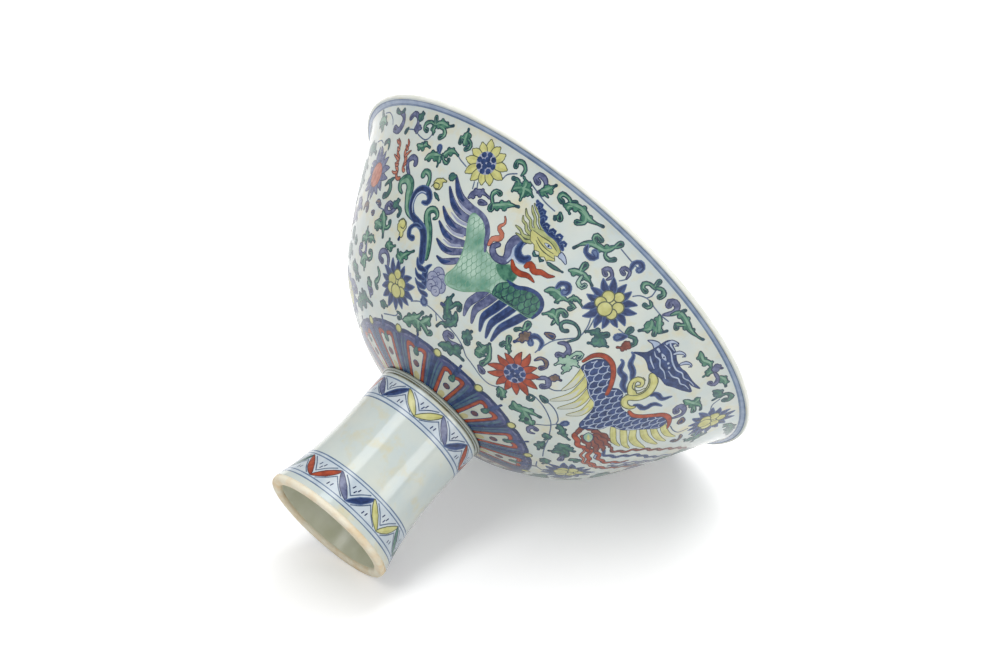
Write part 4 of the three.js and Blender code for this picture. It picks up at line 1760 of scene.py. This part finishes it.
def add_lamp(name, direction, distance, size, power):
    """A soft box that faces the bowl, with its long side along the bowl's axis."""
    data = bpy.data.lights.new(name, "AREA")
    data.shape = "RECTANGLE"
    data.size, data.size_y = size
    data.energy = power
    lamp = bpy.data.objects.new(name, data)
    middle = Vector((0, 0, LIP_TOUCH[1] * MM / 2))
    place = Vector(direction).normalized() * distance + middle
    turn = (middle - place).to_track_quat("-Z", "Y")
    lamp.matrix_world = Matrix.Translation(place) @ turn.to_matrix().to_4x4()
    bpy.context.scene.collection.objects.link(lamp)


def add_light():
    """Soft boxes above the table, low beside the bowl, beyond its lip and before its foot, and an even
    room."""
    for name, (direction, distance, size, power) in LAMPS.items():
        add_lamp(name, direction, distance, size, power)
    world = bpy.data.worlds.new("white_room")
    world.use_nodes = True
    backdrop = world.node_tree.nodes["Background"]
    backdrop.inputs["Color"].default_value = (1, 1, 1, 1)
    backdrop.inputs["Strength"].default_value = WORLD_STRENGTH
    bpy.context.scene.world = world


def add_bowl(glaze, lip_highlight_glaze):
    """The glazed bowl, and the coat on its lip, painted near white as a highlight."""
    turns = (LIP_START, LIP_START + 180, LIP_STEPS)
    outer = curve_through(
        BOWL_OUTLINE + [arc(LIP_MIDDLE, LIP_RADIUS, LIP_START, LIP_START, 1)[0]], SIDE_STEPS
    )
    inner = offset(outer[2 * SIDE_STEPS // 3 : -1], BOWL_WALL)
    profile = [
        (0, PAD_BASE), (BOWL_OUTLINE[0][0], PAD_BASE), *outer, *arc(LIP_MIDDLE, LIP_RADIUS, *turns)[1:]
    ]
    profile += [*inner[::-1], (0, BOWL_FLOOR)]
    turned("bowl_porcelain", profile, glaze, "bowl")
    coat = arc(LIP_MIDDLE, LIP_RADIUS + PAINT_LIFT, *turns)
    backing = arc(LIP_MIDDLE, LIP_RADIUS - PAINT_DEPTH, *turns)
    turned("lip_glaze", coat + backing[::-1], lip_highlight_glaze, "bowl", closed=True)
    return Side(outer, PAINT_START)


def add_stem(glaze, pooled, clay):
    """The glazed stem, the pooled glaze inside it, made paler as painted light in the hollow, and the bare
    ring of its foot.
    """
    stem = curve_through(STEM_OUTLINE, SIDE_STEPS)
    hollow = offset(stem, STEM_WALL)
    hollow[-1] = (STEM_OUTLINE[-1][0] - STEM_WALL[1], STEM_OUTLINE[-1][1])
    turned("stem_porcelain", stem + hollow[::-1], glaze, "stem", closed=True)
    lining = [(radius - PAINT_LIFT, height) for radius, height in hollow[1:]]
    backing = [(radius + PAINT_DEPTH, height) for radius, height in hollow[1:]]
    turned("stem_lining", backing + lining[::-1], pooled, "stem", closed=True)
    foot = STEM_OUTLINE[0][0]
    opening, top = foot - STEM_WALL[0], BARE_HEIGHT - BARE_OVERLAP
    ring = arc((foot - FOOT_ROUND, FOOT_ROUND), FOOT_ROUND, -90, 0, FOOT_STEPS)
    ring += [(foot, top), (opening, top)]
    ring += arc((opening + FOOT_ROUND, FOOT_ROUND), FOOT_ROUND, 180, 270, FOOT_STEPS)
    turned("bare_foot_ring", ring, clay, "stem", closed=True)
    return Side(stem)


def add_paint(sheet, prefix, materials, node, start=0.0):
    """Lays every pigment of a sheet as its own piece."""
    for pigment, triangles in sorted(sheet.settle().items()):
        lay_paint(prefix + pigment, triangles, sheet, materials[pigment], node, start)


def main():
    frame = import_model()
    bpy.context.scene.view_settings.view_transform = "Standard"
    add_camera()
    add_table()
    add_light()
    glaze, clay = glazed_porcelain(), bare_biscuit()
    paints = {pigment: painted(*look) for pigment, look in PAINTS.items()}
    bowl_side = add_bowl(glaze, paints["lip"])
    stem_side = add_stem(glaze, paints["pooled"], clay)
    whole = Sheet(bowl_side, 2)
    paint_rim(whole)
    paint_sprigs(whole)
    paint_flowers(whole)
    paint_green_phoenix(whole)
    paint_blue_phoenix(whole)
    add_paint(whole, "bowl_", paints, "bowl")
    lappets = Sheet(bowl_side, 13)
    paint_lappets(lappets)
    add_paint(lappets, "lappet_", paints, "bowl", LAPPET_START)
    bands = Sheet(stem_side, 1)
    paint_stem(bands)
    add_paint(bands, "stem_", paints, "stem")
    # The collar's dark bottom and the slip's dark colour are painted shade of the groove at the joint
    for name, material in (("joint_collar", seam_glaze_with_groove_shade()), ("luting_slip", paints["slip"])):
        frame["nodes"][name].data.materials.clear()
        frame["nodes"][name].data.materials.append(material)


main()
